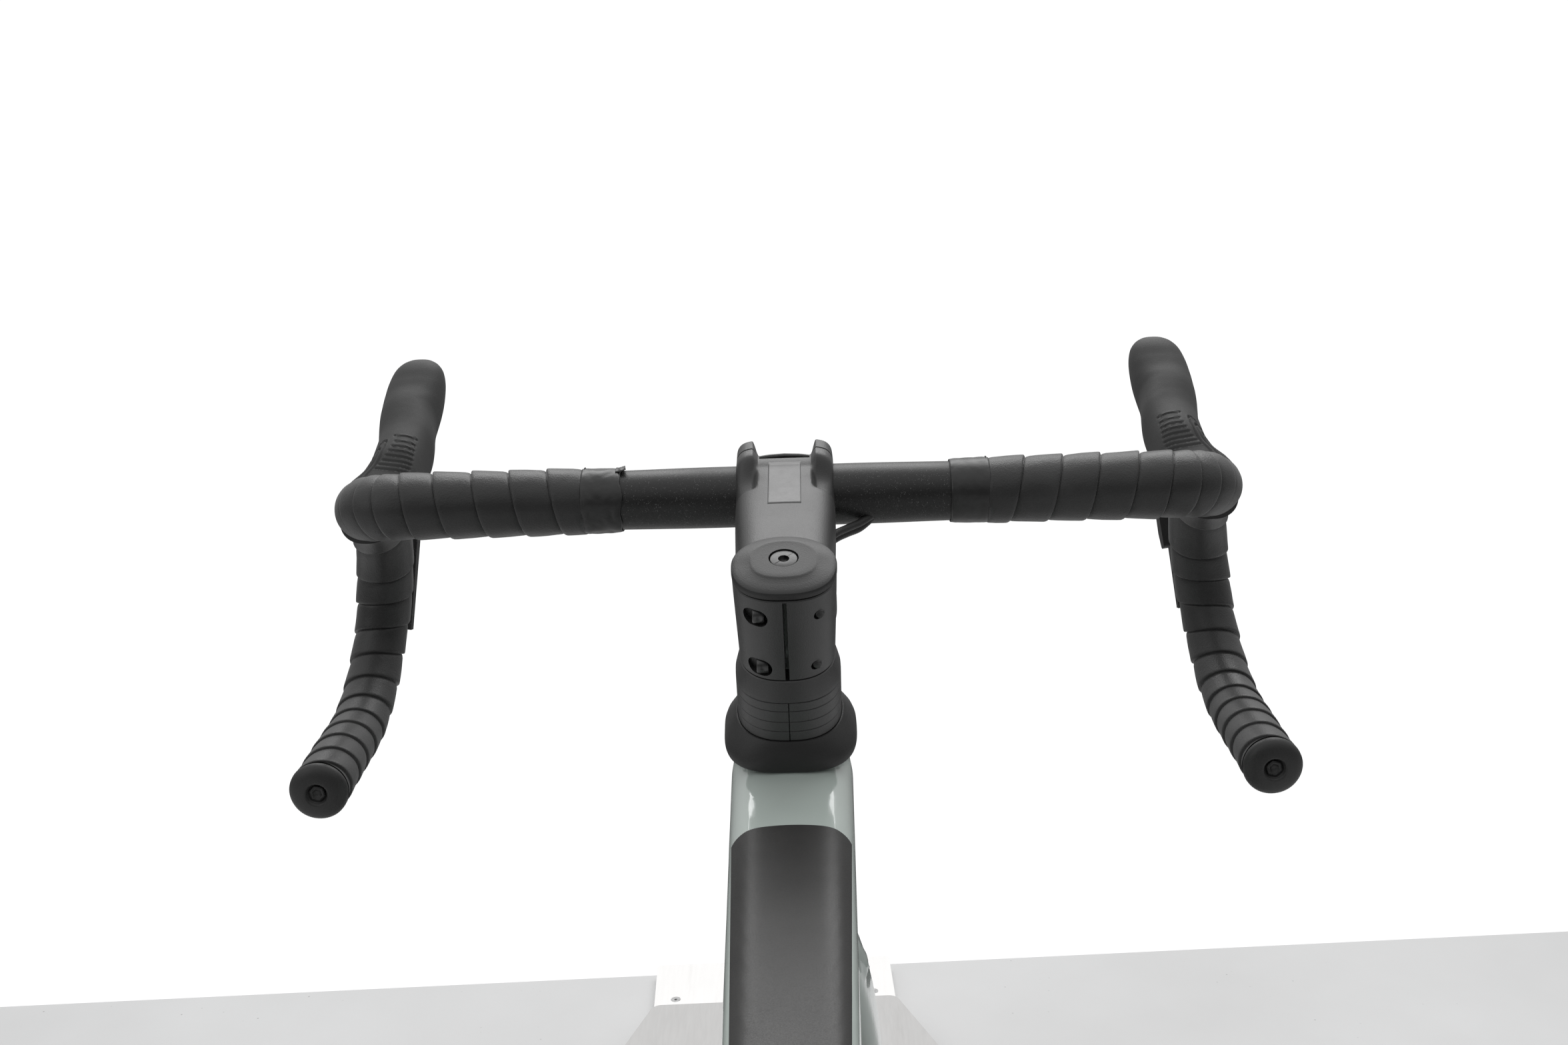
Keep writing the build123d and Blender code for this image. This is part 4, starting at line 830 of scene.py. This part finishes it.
# ---- chain of separate links ----
CHAIN_X, PITCH = 47.5, 12.7
ROLLER = [(-1.3, 0), (-1.3, 3.7), (1.3, 3.7), (1.3, 0)]
RIVET = [(-3.4, 0), (-3.4, 1.5), (-3.2, 1.8), (3.2, 1.8), (3.4, 1.5), (3.4, 0)]


def pitch_radius(teeth):
    return PITCH / (2 * sin(pi / teeth))


GUIDE = REAR_AXLE + Vector((0, -6, -76))
TENSION = GUIDE + Vector((0, 30, -54))
CHAIN_WRAPS = [
    (BB, pitch_radius(40), 1), (TENSION, pitch_radius(12), 1), (GUIDE, pitch_radius(12), -1),
    (REAR_AXLE, pitch_radius(17), 1),
]


def leg_between(first, second):
    (a, ra, sa), (b, rb, sb) = first, second
    gap = b - a
    k = sb * rb - sa * ra
    run = sqrt(gap.y ** 2 + gap.z ** 2 - k ** 2)
    heading = atan2(gap.z, gap.y) + atan2(k, run)
    ny, nz = sin(heading), -cos(heading)
    start = (a.y - sa * ra * ny, a.z - sa * ra * nz)
    end = (b.y - sb * rb * ny, b.z - sb * rb * nz)
    return start, end


def chain_line():
    legs = [leg_between(CHAIN_WRAPS[i], CHAIN_WRAPS[(i + 1) % 4]) for i in range(4)]
    line = []
    for i, (start, end) in enumerate(legs):
        centre, r, turn = CHAIN_WRAPS[(i + 1) % 4]
        line.append(start)
        a0 = atan2(end[1] - centre.z, end[0] - centre.y)
        after = legs[(i + 1) % 4][0]
        a1 = atan2(after[1] - centre.z, after[0] - centre.y)
        angle = (a0 - a1) * turn % TURN
        for j in range(41):
            a = a0 - turn * angle * j / 40
            line.append((centre.y + r * cos(a), centre.z + r * sin(a)))
    line.append(line[0])
    return line


def chain():
    line = chain_line()
    total = sum(hypot(b[0] - a[0], b[1] - a[1]) for a, b in zip(line, line[1:]))
    count = 2 * round(total / PITCH / 2)
    step = total / count
    pins, carry = [], 0.0
    for a, b in zip(line, line[1:]):
        run = hypot(b[0] - a[0], b[1] - a[1])
        while carry < run and len(pins) < count:
            t = carry / run
            pins.append(Vector((0, a[0] + (b[0] - a[0]) * t, a[1] + (b[1] - a[1]) * t)))
            carry += step
        carry -= run
    bm = bmesh.new()
    for i, pin in enumerate(pins):
        other = pins[(i + 1) % count]
        along = (other - pin).normalized()
        high = X.cross(along)
        outer = i % 2 == 0
        inside, outside = (2.3, 3.1) if outer else (1.35, 2.15)
        outline = []
        for end, sign in ((other, 1), (pin, -1)):
            for j in range(9):
                a = radians(-80 + 20 * j)
                outline.append(end + along * (sign * 4.1 * cos(a)) + high * (sign * 4.1 * sin(a)))
        waist = (pin + other) / 2
        outline.insert(9, waist + high * 2.9)
        outline.append(waist - high * 2.9)
        for sign in (-1, 1):
            rows = [[p + X * (CHAIN_X + sign * x) for p in outline] for x in (inside, outside)]
            solid_between(bm, rows)
        lathe(bm, pin + X * CHAIN_X, X, ROLLER, 14)
        lathe(bm, pin + X * CHAIN_X, X, RIVET, 12)
    return piece("chain_links", bm, "frame", "chain_steel", ("chain",), smooth=False)


chain()

# ---- saddle pad ----
SADDLE_HALF = [
    (-128.0, 12.0), (-126.0, 34.0), (-118.0, 56.0), (-104.0, 66.5),
    (-86.0, 69.0), (-60.0, 62.0), (-20.0, 34.5),
    (10.0, 25.0), (40.0, 21.5), (80.0, 19.5), (112.0, 17.0), (126.0, 12.5), (133.0, 5.0),
]
SADDLE_MID, SADDLE_LOW, SADDLE_TOP = -200.0, 960.4, 985.4


def saddle_pad():
    lengthwise, across = 120, 64
    sections = []
    for i in range(lengthwise + 1):
        y = -127.5 + 260.2 * (1 - cos(pi * i / lengthwise)) / 2
        half = table(SADDLE_HALF, y)[0] - 0.5
        end_round = min(1.0, (y + 129.5) / 16, (134.5 - y) / 16)
        end_round = sqrt(max(0.02, 1 - (1 - end_round) ** 2))
        tail = 2.2 * max(0.0, (-y - 60) / 68) ** 2
        row_top, row_low = [], []
        for j in range(across + 1):
            v = -1 + 2 * j / across
            shoulder = max(0.0, 1 - abs(v) ** 3.2) ** 0.5
            height = (SADDLE_TOP - SADDLE_LOW - 3.4) * shoulder * end_round
            channel = 3.6 * max(0.0, 1 - (v * half / 8.5) ** 2) ** 1.5 if abs(v * half) < 8.5 else 0.0
            channel *= min(1.0, max(0.0, (y + 112) / 26), 1.0) * min(1.0, max(0.0, (104 - y) / 26))
            seam = 0.8 * max(0.0, 1 - ((abs(v * half) - 13.0) / 1.1) ** 2) if abs(y) < 100 else 0.0
            grain = 0.1 * noise.noise(Vector((v * half * 0.06, y * 0.06, 2)))
            z = SADDLE_LOW + max(0.35, height - channel - seam + tail * shoulder + grain)
            x = v * half * (1 - 0.015 * abs(v))
            row_top.append(Vector((x, SADDLE_MID + y, z)))
            row_low.append(Vector((x * 0.985, SADDLE_MID + y, SADDLE_LOW)))
        sections.append(row_top + row_low[::-1])
    bm = bmesh.new()
    solid_between(bm, sections)
    made = piece("saddle_pad", bm, "saddle", "saddle_skin", ("saddle_cover",))
    return made


saddle_pad()


# ---- headset cover, spacers, stem and cap ----
AXIS_ZERO = Vector((0, 388.401, 883.812))
AXIS_UP = Vector((0, -0.317305, 0.948324))
AXIS_FORWARD = Vector((0, 0.948324, 0.317305))
STEM_ROOT = Vector((0, 367.268, 946.971))
STEM_DIR = (BAR_CENTRE - STEM_ROOT).normalized()
STEM_UP = X.cross(STEM_DIR)
STEM_LEN = (BAR_CENTRE - STEM_ROOT).length


def on_axis(high, forward=0.0, x=0.0):
    return AXIS_ZERO + AXIS_UP * high + AXIS_FORWARD * forward + X * x


def on_stem(along, up=0.0, x=0.0):
    return STEM_ROOT + STEM_DIR * along + STEM_UP * up + X * x


def loop(half, front, back, power_front, power_back, count=128):
    """A rounded outline: (x, forward) pairs, rounder in front than behind."""
    out = []
    for i in range(count):
        a = TURN * i / count
        c, s = cos(a), sin(a)
        blend_power = power_front if s >= 0 else power_back
        n = 2 / blend_power
        reach = front if s >= 0 else back
        out.append((copysign(half * abs(c) ** n, c), copysign(reach * abs(s) ** n, s)))
    return out


def turned(bm, stations, count=128, caps=True):
    """Outlines stacked along the steering axis: (high, half, front, back, powers)."""
    rows = []
    for high, half, front, back, power_front, power_back in stations:
        outline = loop(half, front, back, power_front, power_back, count)
        rows.append([on_axis(high, f, x) for x, f in outline])
    return grid(bm, rows, cap_start=caps, cap_end=caps)


def ring_tool(low, high, radius):
    """A cylinder on the steering axis, for cutting a bore."""
    bm = bmesh.new()
    turned(bm, [(low, radius, radius, radius, 2, 2), (high, radius, radius, radius, 2, 2)], 64)
    return bm


def rod_tool(start, end, radius, around=48):
    bm = bmesh.new()
    axis = (end - start).normalized()
    run = (end - start).length
    lathe(bm, start, axis, [(0, 0), (0, radius), (run, radius), (run, 0)], around)
    return bm


def box_tool(corner_at, sizes):
    """A box on the steering axis: corner_at and sizes are (x, forward, high)."""
    bm = bmesh.new()
    rows = []
    for high in (corner_at[2], corner_at[2] + sizes[2]):
        row = []
        for u, v in ((0, 0), (1, 0), (1, 1), (0, 1)):
            row.append(on_axis(high, corner_at[1] + v * sizes[1], corner_at[0] + u * sizes[0]))
        rows.append(row)
    solid_between(bm, rows)
    return bm


def bell():
    """The flared cover that closes the head tube."""
    bm = bmesh.new()
    turned(bm, [
        (-6.4, 31.7, 29.9, 31.6, 2.4, 3.1), (-6.2, 32.2, 30.4, 32.0, 2.4, 3.1),
        (-5.4, 32.4, 30.6, 32.2, 2.4, 3.1),
        (-2.6, 32.2, 30.3, 31.9, 2.35, 3.0), (0.0, 31.4, 29.4, 31.1, 2.3, 2.8),
        (3.0, 29.9, 28.2, 29.7, 2.2, 2.6),
        (5.6, 28.0, 26.8, 28.2, 2.2, 2.5), (7.2, 26.8, 25.9, 27.2, 2.2, 2.4),
        (7.9, 26.1, 25.4, 26.6, 2.2, 2.4),
        (8.0, 25.5, 25.0, 26.0, 2.2, 2.4), (7.0, 25.2, 24.7, 25.7, 2.2, 2.4),
        (6.9, 16.0, 16.0, 16.0, 2, 2),
    ])
    made = piece("headset_bell", bm, "steering", "black_plastic", ("headset_cover",), "cap_black")
    return combine(made, ring_tool(-12, 12, 14.6))


def split_spacers():
    """A stack of thin split spacers under a conical one."""
    bm = bmesh.new()
    lines = (8.0, 13.7, 19.5, 26.0, 31.0)
    for low, high in zip(lines, lines[1:]):
        edge = 0.35
        turned(bm, [
            (low + 0.08, 24.9, 24.2, 25.4, 2.2, 2.4), (low + edge, 25.2, 24.5, 25.8, 2.2, 2.4),
            (high - edge, 25.2, 24.5, 25.8, 2.2, 2.4), (high - 0.08, 24.9, 24.2, 25.4, 2.2, 2.4),
        ])
    turned(bm, [
        (31.08, 24.9, 24.2, 25.4, 2.2, 2.4), (31.5, 25.2, 24.5, 25.8, 2.2, 2.4),
        (34.0, 25.1, 24.4, 25.7, 2.2, 2.4),
        (38.5, 24.0, 23.8, 24.8, 2.2, 2.4), (42.2, 22.9, 23.0, 23.8, 2.2, 2.4),
        (42.6, 22.4, 22.6, 23.3, 2.2, 2.4),
    ])
    made = piece("split_spacers", bm, "steering", "black_plastic", ("spacers",), "stem_black")
    combine(made, ring_tool(0, 50, 14.6))
    # the seam where each split ring parts, behind the spacers
    return combine(made, box_tool((-0.25, -27, 6.0), (0.5, 3.2, 25.0)))


def ear_window(x):
    """1 over either ear of the clamp, 0 elsewhere."""
    return 1 - smooth_step(4.0, 7.4, abs(abs(x) - 20.6))


def stem_top(along, x):
    """How high the top of the stem is above its axis."""
    rise = 24.3 - 3.6 * smooth_step(10, 88, along)
    ring = 21.5 ** 2 - (along - STEM_LEN) ** 2
    if along > STEM_LEN - 16:
        rise = max(rise, sqrt(max(ring, 0.0)))
    ears = 4.6 * smooth_step(STEM_LEN - 12, STEM_LEN - 2, along)
    dish = 4.4 * smooth_step(STEM_LEN - 27, STEM_LEN - 20, along)
    dish *= 1 - smooth_step(STEM_LEN - 15, STEM_LEN - 2, along)
    return rise + ear_window(x) * (ears - dish)


def clamp_rows(stops, half):
    """Rounded sections across the stem, squarer towards the bar."""
    rows = []
    for along in stops:
        row = []
        wide = half + 1.3 * smooth_step(20, 80, along)
        square = 3.5 + 2.5 * smooth_step(STEM_LEN - 20, STEM_LEN - 6, along)
        for x, z in loop(wide, 1.0, 1.0, square, 3.0, 240):
            up = (stem_top(along, x) if z >= 0 else stem_low(along)) * z
            row.append(on_stem(along, up, x))
        rows.append(row)
    return rows


def stem_low(along):
    """How far the bottom of the stem is below its axis."""
    ring = 21.5 ** 2 - (along - STEM_LEN) ** 2
    rise = 20.0 - 5.0 * smooth_step(12, 70, along)
    return max(rise, sqrt(max(ring, 0.0)))


JOINT = STEM_LEN + 5.0
# the two bolts that clamp the steerer: height on the axis, x of the head and x of the end
STEERER_BOLTS = ((78.9, -14.6, 15.8), (49.6, -13.8, 13.9))


def stem_block(alongs, ups, half):
    """A box square to the stem, for cutting."""
    bm = bmesh.new()
    corners = ((0, 0), (1, 0), (1, 1), (0, 1))
    solid_between(bm, [[on_stem(alongs[i], ups[j], x) for i, j in corners] for x in (-half, half)])
    return bm


def stem_body():
    bm = bmesh.new()
    stops = [4.0 + 1.2 * i for i in range(int((JOINT - 4.0) / 1.2))] + [JOINT - 0.5, JOINT]
    solid_between(bm, clamp_rows(stops, 24.0))
    made = piece("stem_body", bm, "steering", "black_alloy", ("stem",), "stem_black")
    tower = bmesh.new()
    turned(tower, [
        (43.0, 22.0, 21.4, 22.8, 2.2, 2.35), (43.4, 22.7, 22.0, 23.5, 2.2, 2.35),
        (60.0, 23.3, 22.4, 24.0, 2.2, 2.35),
        (80.0, 24.0, 22.6, 24.6, 2.25, 2.4), (89.2, 24.2, 22.6, 24.9, 2.25, 2.45),
        (89.8, 23.8, 22.2, 24.5, 2.25, 2.45),
    ], 160)
    combine(made, tower, "UNION")
    combine(made, ring_tool(38, 88.5, 14.4))
    combine(made, rod_tool(BAR_CENTRE - X * 40, BAR_CENTRE + X * 40, 15.95, 96))
    combine(made, box_tool((-0.95, -30, 42.0), (1.9, 18.0, 47.0)))
    # the middle of the front edge stands back from the faceplate
    combine(made, stem_block((JOINT - 3.6, JOINT + 4), (12, 30), 13.0))
    for high, x_left, x_right in STEERER_BOLTS:
        # an oblong pocket for the bolt's head on the left, a round hole for its end on the right
        pocket = bmesh.new()
        inward = (AXIS_FORWARD * 0.95 + X * 0.3).normalized()
        across = AXIS_UP.cross(inward).normalized()
        outline = []
        for i in range(40):
            a = TURN * i / 40
            shift = 1.7 if cos(a) >= 0 else -1.7
            outline.append(across * (shift + 4.6 * cos(a)) + AXIS_UP * (4.7 * sin(a)))
        mouth = on_axis(high, -24.0, x_left)
        solid_between(pocket, [[mouth + inward * run + p for p in outline] for run in (-6, 8)])
        combine(made, pocket)
        start = on_axis(high, -28.0, x_right + 2.2)
        combine(made, rod_tool(start, on_axis(high, -15.0, x_right - 2.6), 2.5, 32))
    return made


def bolts():
    """Bolt heads in the pockets and the sockets, the bolt ends and the cap's own bolt."""
    bm = bmesh.new()
    for high, x_left, x_right in STEERER_BOLTS:
        head = on_axis(high, -19.0, x_left - 0.3)
        lathe(bm, head, X, [(0, 2.0), (0, 3.7), (0.5, 4.1), (5.4, 4.1), (5.4, 0)], 40)
        lathe(bm, head, X, [(0, 2.0), (2.5, 2.0), (2.5, 0)], 6)
        tip = on_axis(high, -20.4, x_right)
        lathe(bm, tip, -AXIS_FORWARD, [(-3, 0), (-3, 2.2), (0, 2.2), (0.2, 1.6), (0.2, 0)], 24)
    for x in (-19.2, 19.2):
        for up in (16.0, -16.0):
            end = on_stem(JOINT + 8.6, up, x)
            lathe(bm, end, STEM_DIR, [(-9, 0), (-9, 3.4), (0.3, 3.4), (0.8, 3.0), (0.8, 1.9)], 32)
            lathe(bm, end, STEM_DIR, [(0.8, 1.9), (-1.6, 1.9), (-1.6, 0)], 6)
    centre = on_axis(0)
    top = 96.05
    lathe(bm, centre, AXIS_UP, [
        (top - 4, 0), (top - 4, 6.2), (top - 0.5, 6.5), (top - 0.1, 6.3), (top, 6.0), (top, 2.6),
    ], 56)
    lathe(bm, centre, AXIS_UP, [(top, 2.6), (top - 2.6, 2.45), (top - 2.6, 0)], 6)
    return piece("bolts", bm, "steering", "steel", ("stem_bolts",), "bolt_dark")


def face_plate():
    bm = bmesh.new()
    rows = []
    for i in range(15):
        along = JOINT + 0.35 + 9.0 * i / 14
        soft = 0.9 if i in (0, 14) else 0.0
        row = []
        for x, z in loop(25.3 - soft, 1.0, 1.0, 6.0, 3.4, 240):
            ring = sqrt(max(20.9 ** 2 - (along - STEM_LEN) ** 2, 1.0))
            ears = (25.6 - ring) * ear_window(x) + 1.2 * max(0.0, 1 - (x / 13) ** 2)
            up = (ring + ears * smooth_step(0.2, 0.8, abs(z)) - soft) * z
            row.append(on_stem(along, up, x))
        rows.append(row)
    solid_between(bm, rows)
    made = piece("face_plate", bm, "steering", "black_alloy", ("stem_faceplate",), "stem_black")
    front = bmesh.new()
    barrel = [(0, 0), (0, 19.6), (1, 20.4), (45, 20.4), (46, 19.6), (46, 0)]
    lathe(front, BAR_CENTRE - X * 23, X, barrel, 96)
    combine(made, front, "UNION")
    combine(made, rod_tool(BAR_CENTRE - X * 40, BAR_CENTRE + X * 40, 15.95, 96))
    return combine(made, stem_block((JOINT - 60, JOINT + 0.35), (-40, 40), 40.0))


def top_cap():
    """A rounded cap with a D-shaped plateau and a countersunk hole."""
    profile = [
        (0.0, 96.5), (0.25, 96.5), (0.5, 96.5), (0.6, 96.45),
        (0.64, 96.2), (0.68, 95.7), (0.8, 95.3), (0.9, 94.8),
        (0.95, 94.4), (0.98, 93.9), (0.995, 93.2), (1.0, 92.4),
        (1.0, 91.0), (0.985, 90.5), (0.96, 90.2), (0.5, 90.2),
    ]
    bm = bmesh.new()
    rows = []
    for share, high in profile[1:]:
        ring_part = smooth_step(0.55, 0.7, share) * (1 - smooth_step(0.7, 0.92, share))
        row = []
        for x, f in loop(24.4, 21.0, 25.0, 2.05, 2.5, 144):
            flat = 1 - 0.12 * (1 - share) * max(0.0, -f / 25.0)
            # the plateau fades out towards the front
            step = smooth_step(-6.0, 8.0, f * share) * ring_part
            row.append(on_axis(high + 0.75 * step, f * share * flat, x * share))
        rows.append(row)
    solid_between(bm, rows)
    made = piece("round_cap", bm, "steering", "black_plastic", ("top_cap",), "cap_black")
    return combine(made, ring_tool(92, 98, 6.95))


def crisp(made):
    """Keeps the edges of cuts sharp and the flats flat in the shading."""
    for polygon in made.data.polygons:
        polygon.use_smooth = True
    made.data.set_sharp_from_angle(angle=radians(28))
    even = made.modifiers.new("even", "WEIGHTED_NORMAL")
    even.keep_sharp = True
    apply_modifiers(made)
    return made


crisp(bell())
crisp(split_spacers())
stem_object = crisp(stem_body())
crisp(face_plate())
bolts()
crisp(top_cap())


def label():
    """A blank label on the flat of the stem."""
    bm = bmesh.new()
    bm.from_mesh(stem_object.data)
    stem = BVHTree.FromBMesh(bm)
    bm.free()
    steps = 18
    long_from, long_by, half = STEM_LEN - 45.0, 42.5, 8.3
    rows = []
    for i in range(steps + 1):
        along = long_from + long_by * i / steps
        row = []
        for j in range(steps + 1):
            x = half * (2 * j / steps - 1)
            hit = stem.ray_cast(on_stem(along, 60, x) * MM, -STEM_UP)[0]
            row.append(hit / MM + STEM_UP * 0.04)
        rows.append(row)
    bm = bmesh.new()
    thin_sheet(bm, rows, STEM_UP * 0.3)
    return piece("blank_label", bm, "steering", "black_alloy", finish="label_grey")


label()


# ---- bare bar and the hoses ----
def bare_bar():
    """The bar from end to end, a little slimmer away from the stem."""
    sizes = [(0, 15.9), (34, 15.9), (104, 15.3), (170, 15.0), (200, 13.6), (216, 12.0), (600, 12.0)]
    rows = []
    for s in (-1, 1):
        route = Route(s, 0.0)
        side_rows = []
        runs = [float(i) for i in range(0, 104, 4)]
        runs += [104 + 6.0 * i for i in range(int((route.length - 104) / 6))]
        for run in runs + [route.length]:
            point, _, side, cross = route.at(run)
            r = table(sizes, run)[0]
            row = []
            for j in range(64):
                a = TURN * j / 64 * s
                row.append(point + (side * cos(a) + cross * sin(a)) * r)
            side_rows.append(row)
        rows.append(side_rows)
    bm = bmesh.new()
    grid(bm, rows[0][::-1] + rows[1][1:], cap_start=True, cap_end=True)
    return piece("bare_bar", bm, "steering", "black_alloy", ("handlebar",))


bare_bar()


def sweep(bm, points, radius, around=20):
    """A round tube through points, smoothed."""
    rows = [list(p) for p in points]
    last = len(rows) - 1
    line = [Vector(spline(rows, last * i / (12 * last))) for i in range(12 * last + 1)]
    side = UP.copy()
    rings = []
    for i, point in enumerate(line):
        tangent = (line[min(i + 1, len(line) - 1)] - line[max(i - 1, 0)]).normalized()
        side = (side - tangent * side.dot(tangent)).normalized()
        cross = tangent.cross(side)
        turns = [TURN * j / around for j in range(around)]
        rings.append([point + (side * cos(a) + cross * sin(a)) * radius for a in turns])
    grid(bm, rings, cap_start=True, cap_end=True)


def hoses():
    bm = bmesh.new()
    for shift in (0.0, 1.0):
        low = Vector((0, 2.0, -3.2)) * shift
        sweep(bm, [
            Vector((14, 428, 957)) + low, Vector((24, 440, 961.5)) + low, Vector((31, 448, 962.5)) + low,
            Vector((38, 454.5, 963.5)) + low, Vector((46, 461, 966.5)) + low * 0.3,
        ], 2.0)
    begin = FRONT_AXLE + AXIS_UP * 97.5 - AXIS_FORWARD * 33 - X * 46
    sweep(bm, [
        begin, begin + AXIS_UP * 24 - AXIS_FORWARD * 3, begin + AXIS_UP * 50 + AXIS_FORWARD * 6,
        begin + AXIS_UP * 74 + AXIS_FORWARD * 18,
    ], 2.4)
    return piece("brake_hoses", bm, "steering", "black_plastic", ("steering_hoses",))


hoses()

# ---- floor, light and camera ----
# the floor ends where the white wall begins
floor_mesh = bpy.data.meshes.new("floor")
WALL_LEFT, WALL_RIGHT = Vector((-6.0, 1.402, 0)), Vector((6.0, 1.946, 0))
HALF_FLOOR, BACK, FLOOR_GAP = 6.0, -7.0, 0.0004
corners = [(-HALF_FLOOR, BACK, 0), (HALF_FLOOR, BACK, 0), WALL_RIGHT, WALL_LEFT]
floor_mesh.from_pydata(corners, [], [(0, 1, 2, 3)])
floor = bpy.data.objects.new("floor", floor_mesh)
bpy.context.scene.collection.objects.link(floor)
floor_mesh.materials.append(floor_material())
floor.location.z = -FLOOR_GAP


LIGHT, SEEN_WHITE = 0.86, 1.05


def studio_world():
    """White all round for the camera; the light itself comes mostly from ahead and above."""
    made = bpy.data.worlds.new("studio")
    made.use_nodes = True
    tree = made.node_tree
    background = tree.nodes["Background"]
    background.inputs["Color"].default_value = (1, 1, 1, 1)
    coords = tree.nodes.new("ShaderNodeTexCoord")
    split = tree.nodes.new("ShaderNodeSeparateXYZ")
    tree.links.new(coords.outputs["Generated"], split.inputs["Vector"])
    ahead_part = tree.nodes.new("ShaderNodeMath")
    ahead_part.operation = "MULTIPLY_ADD"
    tree.links.new(split.outputs["Y"], ahead_part.inputs[0])
    ahead_part.inputs[1].default_value = 0.35
    tree.links.new(split.outputs["Z"], ahead_part.inputs[2])
    strength = tree.nodes.new("ShaderNodeMapRange")
    for key, value in (("From Min", -0.3), ("From Max", 0.9), ("To Min", 0.04), ("To Max", LIGHT)):
        strength.inputs[key].default_value = value
    strength.interpolation_type = "SMOOTHSTEP"
    tree.links.new(ahead_part.outputs["Value"], strength.inputs["Value"])
    path = tree.nodes.new("ShaderNodeLightPath")
    seen = tree.nodes.new("ShaderNodeMix")
    seen.data_type = "FLOAT"
    tree.links.new(path.outputs["Is Camera Ray"], seen.inputs[0])
    tree.links.new(strength.outputs["Result"], seen.inputs[2])
    seen.inputs[3].default_value = SEEN_WHITE
    tree.links.new(seen.outputs[0], background.inputs["Strength"])
    bpy.context.scene.world = made


studio_world()


def softbox(name, at, towards, size, power):
    light = bpy.data.lights.new(name, "AREA")
    light.shape = "RECTANGLE"
    light.size, light.size_y = size
    light.energy = power
    lamp = bpy.data.objects.new(name, light)
    bpy.context.scene.collection.objects.link(lamp)
    lamp.location = at
    lamp.rotation_mode = "QUATERNION"
    lamp.rotation_quaternion = (Vector(towards) - Vector(at)).to_track_quat("-Z", "Y")
    lamp.visible_camera = False
    return lamp


COCKPIT = (0, 0.4, 0.8)
softbox("overhead", (0.2, 2.3, 2.9), COCKPIT, (2.6, 1.6), 40)
softbox("left_front", (-2.2, -1.2, 2.2), COCKPIT, (1.6, 1.6), 6)

# the camera, from the fit to the photograph
EYE, LENS = (0.01505, -0.40247, 1.20649), 39.84
YAW, PITCH_ANGLE, ROLL = radians(-1.0785), radians(-15.749), radians(1.973)
ahead = Vector((sin(YAW) * cos(PITCH_ANGLE), cos(YAW) * cos(PITCH_ANGLE), sin(PITCH_ANGLE)))
right = Vector((cos(YAW), -sin(YAW), 0))
above = right.cross(ahead)
right, above = right * cos(ROLL) - above * sin(ROLL), right * sin(ROLL) + above * cos(ROLL)
camera_data = bpy.data.cameras.new("camera")
camera_data.sensor_width = 36.0
camera_data.lens = LENS
camera = bpy.data.objects.new("camera", camera_data)
bpy.context.scene.collection.objects.link(camera)
axes = Matrix((right, above, -ahead)).transposed().to_4x4()
camera.matrix_world = Matrix.Translation(EYE) @ axes
bpy.context.scene.camera = camera
bpy.context.scene.view_settings.view_transform = "Standard"
